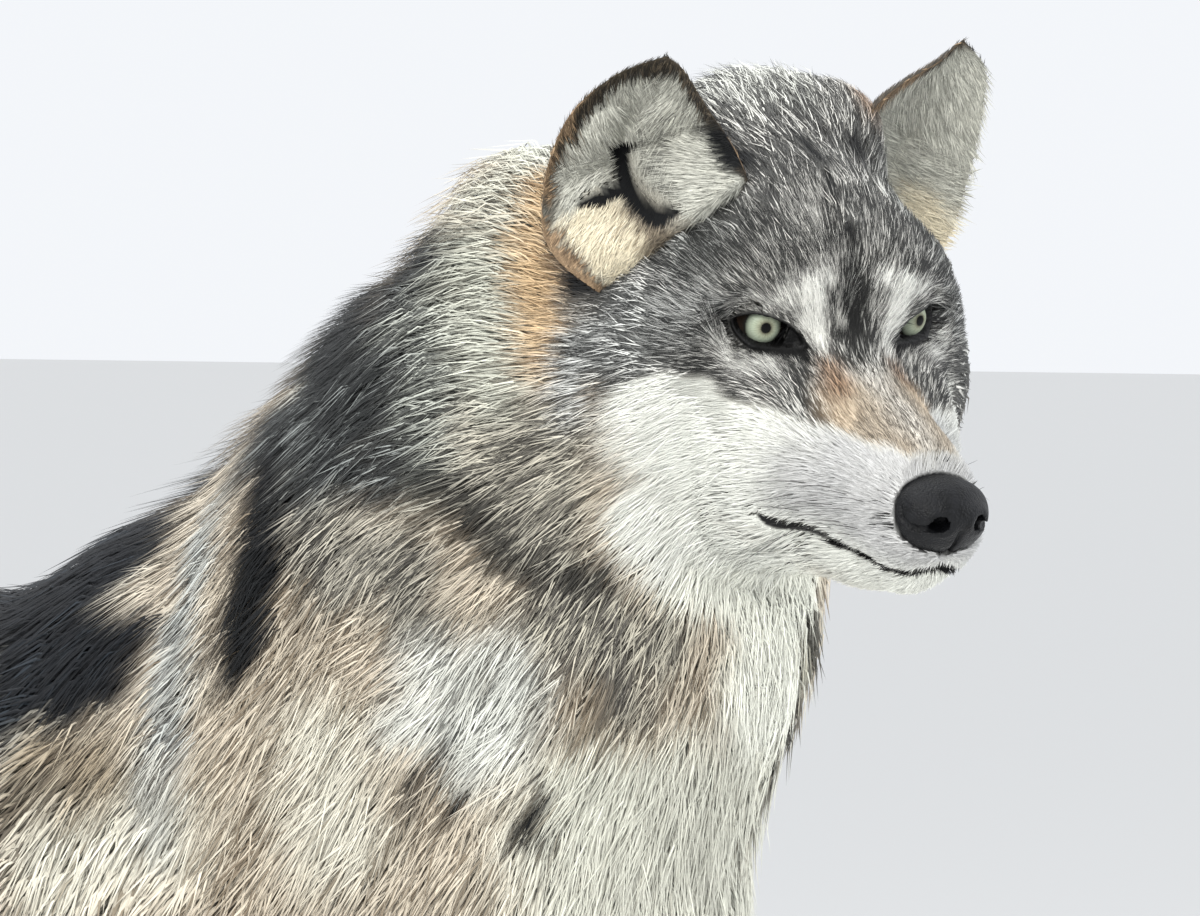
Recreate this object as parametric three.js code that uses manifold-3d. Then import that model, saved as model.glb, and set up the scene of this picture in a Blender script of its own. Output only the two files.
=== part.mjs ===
// A grey wolf at life size, standing with its head raised and turned a little to its right.
// Millimetres, +Z up. The wolf faces -Y and its left is +X. The solids are the outline of its
// winter coat: one body field, meshed a part at a time and parted by thin cuts.
import * as THREE from "three";
import { mergeVertices } from "three/addons/utils/BufferGeometryUtils.js";
import Module from "manifold-3d";

const wasm = await Module();
wasm.setup();

// ---- Driving dimensions -------------------------------------------------------------------

const GAP = 0.3; // clearance between neighbouring parts
const BRIDGE_OF_EYES = [-20, -400, 917]; // midpoint between the irises, and the head's origin
const HEAD_YAW = 21; // degrees that the head turns to the wolf's right
const HEAD_PITCH = 23; // degrees that the palate slopes down
const HEAD_ROLL = 2; // degrees that the left eye is raised

// The rounded forms of the head, in its own frame. Paired ones are given for the left side.
const HEAD = {
  cranium: { at: [-66, 0, 12], radii: [74, 57, 60] },
  nape: { at: [-108, 6, 12], radii: [52, 54, 71] },
  temple: { at: [-44, 48, 4], radii: [44, 34, 36] },
  brow: { at: [-26, 24, 12], radii: [34, 28, 24] },
  cheek: { at: [-44, 60, -38], radii: [50, 42, 52] },
  ruff: { at: [-58, 68, -80], radii: [56, 40, 56] },
  bridge: { from: [0, 0, -30], to: [98, 0, -46], radii: [30, 24] },
  lip: { from: [14, 16, -56], to: [96, 9, -60], radii: [28, 18] },
  chin: { from: [-20, 0, -92], to: [90, 0, -82], radii: [32, 13] },
  jawbone: { from: [-30, 28, -88], to: [60, 10, -84], radii: [28, 13] },
};
const NECK_LINE = [
  { at: [24, -252, 900], radius: 94 },
  { at: [6, -225, 846], radius: 115 },
  { at: [0, -165, 778], radius: 120 },
  { at: [0, -90, 706], radius: 134 },
];
const NECK = {
  throat: { at: [-6, -280, 778], radii: [96, 76, 105] },
  breast: { at: [-4, -205, 655], radii: [118, 108, 150] },
  withers: { at: [0, -15, 722], radii: [92, 110, 96] },
};
const TRUNK = {
  ribs: { at: [0, 120, 612], radii: [138, 280, 166] },
  chest: { at: [0, -70, 612], radii: [138, 160, 180] },
  loin: { at: [0, 350, 652], radii: [108, 200, 124] },
  rump: { at: [0, 515, 655], radii: [110, 150, 126] },
  belly: { at: [0, 290, 556], radii: [88, 200, 76] },
};
const TAIL_LINE = [
  { at: [0, 620, 702], radius: 50 },
  { at: [0, 692, 662], radius: 48 },
  { at: [2, 748, 560], radius: 58 },
  { at: [6, 772, 450], radius: 62 },
  { at: [10, 768, 350], radius: 50 },
  { at: [14, 748, 258], radius: 20 },
];
// The left legs, with each leg's step backwards. A form moves by its share of the step.
const FORELEG = {
  shoulder: { at: [92, -78, 575], radii: [56, 78, 120], tip: -18 },
  elbow: { at: [92, -12, 478], radii: [44, 56, 58] },
  forearm: { from: [90, -30, 470], to: [82, -50, 240], radii: [46, 33], share: [0, 0.6] },
  wrist: { at: [81, -52, 212], radii: [32, 34, 38], share: 0.65 },
  pastern: { from: [81, -50, 200], to: [79, -66, 70], radii: [29, 30], share: [0.7, 1] },
  step: { right: -16, left: 22 },
};
const HINDLEG = {
  thigh: { at: [78, 500, 560], radii: [58, 114, 150], tip: 16 },
  knee: { at: [90, 424, 462], radii: [44, 58, 66] },
  shank: { from: [90, 442, 450], to: [84, 595, 285], radii: [55, 32], share: [0, 0.8] },
  hock: { at: [83, 618, 256], radii: [27, 36, 37], share: 0.8 },
  pastern: { from: [83, 612, 240], to: [81, 580, 72], radii: [28, 30], share: [0.8, 1] },
  step: { right: 32, left: -26 },
};
// Feet: where each one's middle is on the ground, and its size against a forefoot's.
const FEET = {
  forefoot_right: { at: [-79, -104], size: 1 },
  forefoot_left: { at: [79, -66], size: 1 },
  hindfoot_right: { at: [-81, 590], size: 0.9 },
  hindfoot_left: { at: [81, 532], size: 0.9 },
};
const TOES = [-33, -12, 12, 33]; // how far each toe lies to the side of the foot's middle
const TOE_AHEAD = { inner: -62, outer: -42 };
const TOE = { radii: [15.5, 30, 23], height: 20 };
const CLAW = { ahead: -24, height: 19, radius: 4.2, tip: 0.5 };
const CLAW_LINE = [
  [0, 8, 2],
  [0, -6, 3],
  [0, -15, -2],
  [0, -20, -9],
];

const EYE = { at: [-8, 40.5, -1.5], radius: 12.3 }; // the left eyeball, in the head's frame
const SOCKET = { at: [12, 52, 0.5], radii: [20, 18, 11.5], turn: 45 };
const CORNEA = { radius: 8.6, ahead: 5.2 };
const GAZE = { outward: 15, up: 10 }; // degrees between the head's axis and each eye's
const NOSE = {
  pad: { at: [109, 0, -43], radii: [16, 20, 16] },
  wing: { at: [112, 11, -48], radii: [12, 10.5, 12] },
  nostril: { at: [122, 10, -49], radii: [10, 4.5, 5], turn: 22 },
};
const EAR_THICKNESS = 5;
// Each ear between its two edges, from inside the head to the tip, in the head's frame.
const EARS = {
  ear_right: {
    inner: [
      [-50, -26, 46],
      [-58, -38, 68],
      [-71, -49, 84],
      [-82, -56, 96],
      [-89, -61, 103],
    ],
    outer: [
      [-68, -64, -24],
      [-98, -99, -2],
      [-110, -104, 27],
      [-113, -97, 61],
      [-105, -82, 86],
      [-92, -64, 103],
    ],
    opening: [0.7, -0.68, 0.2],
    cup: 0.34,
  },
  ear_left: {
    inner: [
      [-66, 28, 42],
      [-73, 43, 64],
      [-75, 54, 82],
      [-76, 69, 93],
      [-77, 86, 102],
      [-78, 98, 112],
    ],
    outer: [
      [-58, 80, -12],
      [-68, 106, 14],
      [-71, 112, 39],
      [-73, 114, 66],
      [-77, 114, 94],
      [-79, 103, 112],
    ],
    opening: [0.95, 0.15, 0.1],
    cup: 0.36,
  },
};

// Where one part ends and the next begins.
const NAPE_CUT = { at: [-112, 0, 75], normal: [-0.96, 0, -0.28] }; // in the head's frame
const THROAT_CUT = { at: [-57, 0, -136], normal: [0.2, 0, -0.98] };
const SNOUT_CUT = { at: [24, 0, -40], normal: [1, 0, 0] };
const MOUTH_CUT = { at: [76, 0, -77.5], normal: [-0.06, 0, -1] };
const ANKLE_HEIGHT = 84;
const SHOULDER_ARCH = { inner: 42, middle: -58, halfWidth: 100, top: 668 };
const ARCH_RISE = 0.9; // an arch's rise over half of its width
const THIGH_ARCH = { inner: 36, middle: 525, halfWidth: 128, top: 706 };

// How coarse each part's facets are.
const CELL = {
  trunk: [56, 66, 54],
  neck: [36, 36, 36],
  tail: [38, 38, 48],
  foreleg: [26, 28, 50],
  hindleg: [27, 31, 44],
  foot: [14, 15, 13],
  head: [17, 17, 17],
  face: [12, 12, 12],
  eye: [5.8, 5.8, 5.8],
  nose: [7.5, 7.5, 7.5],
  nostril: [5, 4, 4],
};

const COLOUR = {
  grey: 0x8c8880,
  cream: 0xd9d2c0,
  tan: 0xb59a78,
  black: 0x1d1d1f,
  iris: 0xc9d3b4,
  horn: 0x2e2a26,
};
const FUR = { roughness: 0.9, metalness: 0 };
const WET = { roughness: 0.35, metalness: 0 };

// ---- Fields: each is a function of a point that is negative inside ------------------------

// A solid ellipsoid, about its true distance near its surface.
function ball([cx, cy, cz], [rx, ry, rz]) {
  return (x, y, z) => {
    const [a, b, c] = [(x - cx) / rx, (y - cy) / ry, (z - cz) / rz];
    const k = Math.hypot(a, b, c);
    const slope = Math.hypot(a / rx, b / ry, c / rz);
    return slope < 1e-9 ? -Math.min(rx, ry, rz) : (k * (k - 1)) / slope;
  };
}

// A limb from one point to another, round, with its radius changing evenly.
function limb([ax, ay, az], [bx, by, bz], radiusA, radiusB) {
  const [dx, dy, dz] = [bx - ax, by - ay, bz - az];
  const long2 = dx * dx + dy * dy + dz * dz;
  return (x, y, z) => {
    const [px, py, pz] = [x - ax, y - ay, z - az];
    const t = Math.min(1, Math.max(0, (px * dx + py * dy + pz * dz) / long2));
    const off = Math.hypot(px - t * dx, py - t * dy, pz - t * dz);
    return off - radiusA - t * (radiusB - radiusA);
  };
}

// A run of limbs from each station to the next.
function chain(softness, stations) {
  const links = stations.slice(1).map((b, i) => {
    const a = stations[i];
    return limb(a.at, b.at, a.radius, b.radius);
  });
  return blend(softness, ...links);
}

// Fields joined with a fillet about as wide as softness.
function blend(softness, ...fields) {
  return (x, y, z) => {
    let d = fields[0](x, y, z);
    for (let i = 1; i < fields.length; i++) {
      const e = fields[i](x, y, z);
      const near = Math.max(softness - Math.abs(d - e), 0) / softness;
      d = Math.min(d, e) - (near * near * softness) / 4;
    }
    return d;
  };
}

// A field tipped about a point by Euler angles in degrees.
function tipped(field, [cx, cy, cz], angles) {
  const turn = new THREE.Euler(...angles.map(THREE.MathUtils.degToRad));
  const back = new THREE.Matrix4().makeRotationFromEuler(turn).transpose().elements;
  return (x, y, z) => {
    const [px, py, pz] = [x - cx, y - cy, z - cz];
    return field(
      back[0] * px + back[4] * py + back[8] * pz + cx,
      back[1] * px + back[5] * py + back[9] * pz + cy,
      back[2] * px + back[6] * py + back[10] * pz + cz,
    );
  };
}

// The same field on both sides of the plane of symmetry of its second axis.
const mirrored = (field) => (x, y, z) => field(x, Math.abs(y), z);

// ---- The head's own frame: x forward, y to the wolf's left, z up --------------------------

const toHead = new THREE.Matrix4();
const fromHead = (() => {
  const rad = THREE.MathUtils.degToRad;
  const ahead = new THREE.Vector3(-Math.sin(rad(HEAD_YAW)), -Math.cos(rad(HEAD_YAW)), 0);
  const left = new THREE.Vector3(0, 0, 1).cross(ahead);
  ahead.applyAxisAngle(left, rad(HEAD_PITCH));
  left.applyAxisAngle(ahead, rad(HEAD_ROLL));
  const up = ahead.clone().cross(left);
  const frame = new THREE.Matrix4().makeBasis(ahead, left, up);
  frame.setPosition(...BRIDGE_OF_EYES);
  toHead.copy(frame).invert();
  return frame;
})();

function inHead(field) {
  const m = toHead.elements;
  return (x, y, z) =>
    field(
      m[0] * x + m[4] * y + m[8] * z + m[12],
      m[1] * x + m[5] * y + m[9] * z + m[13],
      m[2] * x + m[6] * y + m[10] * z + m[14],
    );
}

const headPoint = (x, y, z) => new THREE.Vector3(x, y, z).applyMatrix4(fromHead);

// ---- Flesh ---------------------------------------------------------------------------------

const oval = ({ at, radii }) => ball(at, radii);
const rod = ({ from, to, radii }) => limb(from, to, radii[0], radii[1]);

function headField() {
  return blend(
    26,
    oval(HEAD.cranium),
    oval(HEAD.nape),
    mirrored(oval(HEAD.temple)),
    mirrored(oval(HEAD.brow)),
    mirrored(oval(HEAD.cheek)),
    rod(HEAD.bridge),
    mirrored(rod(HEAD.lip)),
    rod(HEAD.chin),
    mirrored(rod(HEAD.jawbone)),
    mirrored(oval(HEAD.ruff)),
  );
}

const neckField = () => blend(44, chain(30, NECK_LINE), ...Object.values(NECK).map(oval));
const trunkField = () => blend(50, ...Object.values(TRUNK).map(oval));
const tailField = () => chain(30, TAIL_LINE);

// One leg's form on its own side, moved back by its share of the step and tipped.
function legForm(form, side, step) {
  const moved = ([x, y, z], share) => [side * x, y + step * share, z];
  if (form.from) {
    const [near, far] = form.share.map((share, i) => moved(i ? form.to : form.from, share));
    return limb(near, far, ...form.radii);
  }
  const at = moved(form.at, form.share ?? 0);
  return tipped(ball(at, form.radii), at, [form.tip ?? 0, 0, 0]);
}

function legField(leg, side) {
  const step = side > 0 ? leg.step.left : leg.step.right;
  const forms = Object.values(leg).filter((form) => form.radii);
  return blend(26, ...forms.map((form) => legForm(form, side, step)));
}

const toeAhead = (across) => (Math.abs(across) < 20 ? TOE_AHEAD.inner : TOE_AHEAD.outer);

function footField({ at: [x, y], size }) {
  const scaled = (radii) => radii.map((r) => r * size);
  const toes = TOES.map((across) =>
    ball([x + across * size, y + toeAhead(across) * size, TOE.height * size], scaled(TOE.radii)),
  );
  const instep = ball([x, y - 2, 36 * size], scaled([38, 48, 36]));
  const pads = ball([x, y - 26 * size, 17], [36 * size, 58 * size, 22]);
  return blend(9, instep, pads, ...toes);
}

const trunk = trunkField();
const body = blend(
  30,
  trunk,
  neckField(),
  inHead(headField()),
  blend(18, legField(FORELEG, -1), footField(FEET.forefoot_right)),
  blend(18, legField(FORELEG, 1), footField(FEET.forefoot_left)),
  blend(18, legField(HINDLEG, -1), footField(FEET.hindfoot_right)),
  blend(18, legField(HINDLEG, 1), footField(FEET.hindfoot_left)),
);
const rearWithTail = blend(38, trunk, tailField());

// ---- Meshing --------------------------------------------------------------------------------

const boxField = (low, high) => (x, y, z) =>
  Math.max(low[0] - x, x - high[0], low[1] - y, y - high[1], low[2] - z, z - high[2]);

// Moves a point on to a field's surface.
function settle(field, point, reach) {
  const h = 0.5;
  const start = [...point];
  for (let i = 0; i < 4; i++) {
    const [x, y, z] = point;
    const d = field(x, y, z);
    const g = [
      field(x + h, y, z) - field(x - h, y, z),
      field(x, y + h, z) - field(x, y - h, z),
      field(x, y, z + h) - field(x, y, z - h),
    ].map((v) => v / (2 * h));
    const slope2 = g[0] ** 2 + g[1] ** 2 + g[2] ** 2;
    if (slope2 < 0.05) break;
    for (let a = 0; a < 3; a++) {
      const moved = point[a] - (d * g[a]) / slope2;
      point[a] = Math.min(start[a] + reach[a], Math.max(start[a] - reach[a], moved));
    }
  }
}

// A field's values at the points of a grid over a box.
function sample(field, low, high, cell) {
  const count = low.map((l, a) => Math.ceil((high[a] - l) / cell[a]) + 1);
  const stride = [1, count[0], count[0] * count[1]];
  const indexOf = (c) => c[0] * stride[0] + c[1] * stride[1] + c[2] * stride[2];
  const values = new Float32Array(count[0] * count[1] * count[2]);
  const each = (size, visit) => {
    for (let k = 0; k < size[2]; k++)
      for (let j = 0; j < size[1]; j++) for (let i = 0; i < size[0]; i++) visit([i, j, k]);
  };
  each(count, (c) => {
    values[indexOf(c)] = field(...c.map((v, a) => low[a] + v * cell[a]));
  });
  return { count, stride, indexOf, values, each };
}

// Whether a face of the grid has its opposite corners alike and its neighbouring ones unlike,
// so that two sheets of the net would meet along one edge.
function hasSaddle({ count, stride, indexOf, values, each }) {
  let found = false;
  for (let a = 0; a < 3; a++) {
    const [b, c] = [stride[(a + 1) % 3], stride[(a + 2) % 3]];
    each(
      count.map((n, axis) => (axis === a ? n : n - 1)),
      (corner) => {
        const i = indexOf(corner);
        const [p, q, r, s] = [i, i + b, i + c, i + b + c].map((at) => values[at] < 0);
        if (p === s && q === r && p !== q) found = true;
      },
    );
  }
  return found;
}

// Surface nets: a vertex in each cell that the surface crosses, and a face across each crossed
// edge of the grid, joining the four cells round it. The grid is shifted until it has no saddle.
function netOf(field, corner, high, cell) {
  const shares = [0.37, 0.59, 0.73];
  const shifted = (n) => corner.map((l, a) => l - cell[a] * ((n * shares[a]) % 1));
  let attempt = 0;
  let low = shifted(attempt);
  let grid = sample(field, low, high, cell);
  while (hasSaddle(grid) && attempt < 60) {
    low = shifted(++attempt);
    grid = sample(field, low, high, cell);
  }
  const { count, stride, indexOf, values, each } = grid;
  const corners = [0, 1, 2, 3, 4, 5, 6, 7].map((n) => [n & 1, (n >> 1) & 1, (n >> 2) & 1]);
  const edges = [];
  corners.forEach((p, m) =>
    corners.forEach((q, n) => {
      if (m < n && Math.abs(p[0] - q[0]) + Math.abs(p[1] - q[1]) + Math.abs(p[2] - q[2]) === 1)
        edges.push([m, n]);
    }),
  );
  const vertexOf = new Map();
  const positions = [];
  each(
    count.map((n) => n - 1),
    (c) => {
      const found = corners.map((p) => values[indexOf(c.map((v, a) => v + p[a]))]);
      const sum = [0, 0, 0];
      let crossings = 0;
      for (const [m, n] of edges) {
        if (found[m] < 0 === found[n] < 0) continue;
        const t = found[m] / (found[m] - found[n]);
        for (let a = 0; a < 3; a++) sum[a] += corners[m][a] + t * (corners[n][a] - corners[m][a]);
        crossings++;
      }
      if (!crossings) return;
      const point = sum.map((s, a) => low[a] + (c[a] + s / crossings) * cell[a]);
      settle(field, point, cell.map((s) => s * 0.4));
      vertexOf.set(indexOf(c), positions.length / 3);
      positions.push(...point);
    },
  );

  const faces = [];
  const coordinate = (p, a) => positions[3 * p + a];
  const apart = (p, q) =>
    Math.hypot(...[0, 1, 2].map((a) => coordinate(p, a) - coordinate(q, a)));
  for (let a = 0; a < 3; a++) {
    const [b, c] = [(a + 1) % 3, (a + 2) % 3];
    each(
      count.map((n, axis) => (axis === a ? n - 1 : n)),
      (point) => {
        if (!point[b] || !point[c]) return;
        const here = indexOf(point);
        const inside = values[here] < 0;
        if (inside === values[here + stride[a]] < 0) return;
        const ring = [
          here - stride[b] - stride[c],
          here - stride[c],
          here,
          here - stride[b],
        ].map((cellIndex) => vertexOf.get(cellIndex));
        if (!inside) ring.reverse();
        const [p, q, r, s] = ring;
        if (apart(p, r) < apart(q, s)) faces.push(p, q, r, p, r, s);
        else faces.push(q, r, s, q, s, p);
      },
    );
  }
  return geometryOf(positions, faces);
}

function geometryOf(positions, faces) {
  const geometry = new THREE.BufferGeometry();
  geometry.setAttribute("position", new THREE.Float32BufferAttribute(positions, 3));
  geometry.setIndex(faces);
  return geometry;
}

// ---- Solids: what manifold-3d cuts and joins --------------------------------------------------

function solidOf(geometry, matrix = new THREE.Matrix4()) {
  const bare = geometry.clone().applyMatrix4(matrix);
  bare.deleteAttribute("normal");
  bare.deleteAttribute("uv");
  const merged = mergeVertices(bare, 1e-4);
  return new wasm.Manifold(
    new wasm.Mesh({
      numProp: 3,
      vertProperties: merged.attributes.position.array,
      triVerts: new Uint32Array(merged.index.array),
    }),
  );
}

function geometryFrom(solid) {
  const mesh = solid.getMesh();
  const geometry = geometryOf(Array.from(mesh.vertProperties), Array.from(mesh.triVerts));
  geometry.computeVertexNormals();
  return geometry;
}

// The largest of a solid's separate bodies, because a cut can leave crumbs.
function largest(solid) {
  return solid.decompose().reduce((a, b) => (b.volume() > a.volume() ? b : a));
}

// A solid grown outwards by the gap, which cuts its neighbours clear of it.
function grown(solid) {
  const geometry = geometryFrom(solid);
  const { position, normal } = geometry.attributes;
  for (let i = 0; i < position.count; i++) {
    const point = new THREE.Vector3().fromBufferAttribute(position, i);
    const outward = new THREE.Vector3().fromBufferAttribute(normal, i);
    position.setXYZ(i, ...toArray(point.addScaledVector(outward, 1.8 * GAP)));
  }
  return solidOf(geometry);
}

const FAR = 4000;

// Everything on the side of a plane that its normal points away from, less half of a gap.
function behind({ point, normal }, gap = GAP) {
  const away = new THREE.Vector3(...normal).normalize();
  const turn = new THREE.Quaternion().setFromUnitVectors(new THREE.Vector3(0, 0, 1), away);
  const centre = new THREE.Vector3(...point).addScaledVector(away, -FAR / 2 - gap / 2);
  const place = new THREE.Matrix4().compose(centre, turn, new THREE.Vector3(1, 1, 1));
  return solidOf(new THREE.BoxGeometry(FAR, FAR, FAR), place);
}

const reversed = ({ point, normal }) => ({ point, normal: normal.map((n) => -n) });

function meshed(field, low, high, cell) {
  const closed = (x, y, z) => Math.max(field(x, y, z), boxField(low, high)(x, y, z));
  return solidOf(
    netOf(
      closed,
      low.map((l, a) => l - 1.5 * cell[a]),
      high.map((h, a) => h + 1.5 * cell[a]),
      cell,
    ),
  );
}

// ---- Parting planes -----------------------------------------------------------------------------

const toArray = (v) => [v.x, v.y, v.z];
const headDirection = (x, y, z) =>
  toArray(new THREE.Vector3(x, y, z).transformDirection(fromHead));
const headPlane = ({ at, normal }) => ({
  point: toArray(headPoint(...at)),
  normal: headDirection(...normal),
});

const NAPE = headPlane(NAPE_CUT); // head in front, neck behind
const THROAT = headPlane(THROAT_CUT); // head above, neck below
const SNOUT = headPlane(SNOUT_CUT); // muzzle in front, head behind
const MOUTH = headPlane(MOUTH_CUT); // jaw below, muzzle above
const NECK_BASE = { point: [0, -120, 752], normal: [0, 0.8, -0.6] }; // trunk behind, neck in front
const TAIL_ROOT = { point: [0, 656, 690], normal: [0, 0.98, -0.2] }; // tail behind, trunk in front
const ANKLE = { point: [0, 0, ANKLE_HEIGHT], normal: [0, 0, -1] }; // foot below, leg above
const GROUND = { point: [0, 0, GAP / 2], normal: [0, 0, -1] };

// The head's side of the cuts behind its nape and below its throat.
const headSide = (gap) => behind(NAPE, gap).intersect(behind(THROAT, gap));

// An arch-topped block that takes a leg, with its shoulder or thigh, out of the trunk's side.
function archBlock(side, { inner, middle, halfWidth, top }, grow) {
  const width = halfWidth + grow;
  const shape = new THREE.Shape();
  shape.moveTo(-width, -900);
  shape.lineTo(width, -900);
  shape.lineTo(width, 0);
  shape.absellipse(0, 0, width, width * ARCH_RISE, 0, Math.PI, false);
  shape.closePath();
  const block = new THREE.ExtrudeGeometry(shape, {
    depth: 300,
    bevelEnabled: false,
    curveSegments: 10,
  });
  const basis = new THREE.Matrix4().makeBasis(
    new THREE.Vector3(0, side, 0),
    new THREE.Vector3(0, 0, 1),
    new THREE.Vector3(side, 0, 0),
  );
  const spring = top - halfWidth * ARCH_RISE;
  const place = new THREE.Matrix4().makeTranslation(side * (inner - grow), middle, spring);
  return solidOf(block, place.multiply(basis));
}

const shoulderBlock = (side, grow) => archBlock(side, SHOULDER_ARCH, grow);
const thighBlock = (side, grow) => archBlock(side, THIGH_ARCH, grow);

// ---- Parts ----------------------------------------------------------------------------------------

const wolf = new THREE.Group();
const made = {};

function add(name, solid, colour, surface = FUR) {
  made[name] = solid;
  const material = new THREE.MeshStandardMaterial({ color: colour, ...surface });
  const mesh = new THREE.Mesh(geometryFrom(solid), material);
  mesh.name = name;
  wolf.add(mesh);
}

function trunkPart() {
  const withTail = (x, y, z) => Math.min(body(x, y, z), rearWithTail(x, y, z));
  let solid = meshed(withTail, [-175, -330, 380], [175, 700, 900], CELL.trunk);
  solid = solid.intersect(behind(reversed(NECK_BASE))).intersect(behind(TAIL_ROOT));
  for (const side of [-1, 1])
    solid = solid.subtract(shoulderBlock(side, GAP)).subtract(thighBlock(side, GAP));
  add("trunk", largest(solid), COLOUR.grey);
}

function neckPart() {
  let solid = meshed(body, [-190, -450, 480], [190, 40, 1080], CELL.neck);
  solid = solid.intersect(behind(NECK_BASE)).subtract(headSide(-GAP));
  add("neck", largest(solid), COLOUR.grey);
}

function tailPart() {
  let solid = meshed(rearWithTail, [-90, 580, 220], [100, 850, 780], CELL.tail);
  for (const side of [-1, 1]) solid = solid.subtract(thighBlock(side, GAP));
  add("tail", largest(solid.intersect(behind(reversed(TAIL_ROOT)))), COLOUR.grey);
}

function legParts() {
  for (const side of [-1, 1]) {
    const name = side > 0 ? "left" : "right";
    const low = side > 0 ? 20 : -200;
    const fore = meshed(body, [low, -210, 70], [low + 180, 80, 700], CELL.foreleg);
    const foreleg = fore.intersect(shoulderBlock(side, 0)).intersect(behind(ANKLE));
    add(`foreleg_${name}`, largest(foreleg), COLOUR.cream);
    const hind = meshed(body, [low, 360, 70], [low + 180, 700, 740], CELL.hindleg);
    const hindleg = hind.intersect(thighBlock(side, 0)).intersect(behind(ANKLE));
    add(`hindleg_${name}`, largest(hindleg), COLOUR.cream);
  }
}

// A claw: a short horn that curves down from the front of a toe.
function clawSolid([x, y, z], size) {
  const bend = CLAW_LINE.map((p) => new THREE.Vector3(...p).multiplyScalar(size));
  const curve = new THREE.CatmullRomCurve3(bend);
  const [rings, sides] = [3, 5];
  const positions = [];
  const faces = [];
  for (let i = 0; i <= rings; i++) {
    const t = i / rings;
    const centre = curve.getPoint(t);
    const along = curve.getTangent(t);
    const upward = new THREE.Vector3(1, 0, 0).cross(along);
    const radius = CLAW.radius * size * (1 - t) ** 0.55 + CLAW.tip;
    for (let s = 0; s < sides; s++) {
      const angle = (2 * Math.PI * s) / sides;
      const ring = centre.clone().addScaledVector(upward, radius * 1.25 * Math.sin(angle));
      ring.x += radius * Math.cos(angle);
      positions.push(x + ring.x, y + ring.y, z + ring.z);
    }
  }
  const ends = [positions.length / 3, positions.length / 3 + 1];
  for (const t of [0, 1]) {
    const end = curve.getPoint(t);
    positions.push(x + end.x, y + end.y, z + end.z);
  }
  for (let s = 0; s < sides; s++) {
    const next = (s + 1) % sides;
    faces.push(ends[0], s, next);
    faces.push(ends[1], rings * sides + next, rings * sides + s);
    for (let i = 0; i < rings; i++) {
      const [a, b] = [i * sides + s, i * sides + next];
      faces.push(a, a + sides, b, b, a + sides, b + sides);
    }
  }
  return solidOf(geometryOf(positions, faces));
}

function footParts() {
  for (const [name, { at, size }] of Object.entries(FEET)) {
    const [x, y] = at;
    const low = [x - 58, y - 106, -30];
    const high = [x + 58, y + 70, 96];
    const foot = meshed(body, low, high, CELL.foot);
    const sole = foot.intersect(behind(reversed(ANKLE))).intersect(behind(GROUND));
    add(name, largest(sole), COLOUR.cream);
    const root = grown(made[name]);
    TOES.forEach((across, n) => {
      const ahead = toeAhead(across) + CLAW.ahead;
      const place = [x + across * size, y + ahead * size, CLAW.height * size];
      const claw = largest(clawSolid(place, size).subtract(root));
      add(`claw_${name}_${n + 1}`, claw, COLOUR.horn, WET);
    });
  }
}

// The hollow between an eye's lids, long from its inner corner to its outer one.
function socketSolid(side) {
  const place = new THREE.Matrix4().compose(
    new THREE.Vector3(SOCKET.at[0], side * SOCKET.at[1], SOCKET.at[2]),
    new THREE.Quaternion().setFromAxisAngle(
      new THREE.Vector3(0, 0, 1),
      THREE.MathUtils.degToRad(-side * SOCKET.turn),
    ),
    new THREE.Vector3(...SOCKET.radii),
  );
  return solidOf(new THREE.SphereGeometry(1, 14, 10), fromHead.clone().multiply(place));
}

const eyeField = (() => {
  const [x, y, z] = EYE.at;
  const rad = THREE.MathUtils.degToRad;
  const gaze = new THREE.Vector3(Math.cos(rad(GAZE.outward)), Math.sin(rad(GAZE.outward)), 0);
  gaze.z = Math.sin(rad(GAZE.up));
  gaze.normalize();
  const cornea = gaze.multiplyScalar(CORNEA.ahead).add(new THREE.Vector3(x, y, z));
  return blend(
    2,
    ball([x, y, z], Array(3).fill(EYE.radius)),
    ball(toArray(cornea), Array(3).fill(CORNEA.radius)),
  );
})();

const noseField = blend(8, oval(NOSE.pad), mirrored(oval(NOSE.wing)));
const nostrilField = mirrored(
  tipped(oval(NOSE.nostril), NOSE.nostril.at, [0, 0, NOSE.nostril.turn]),
);

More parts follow.
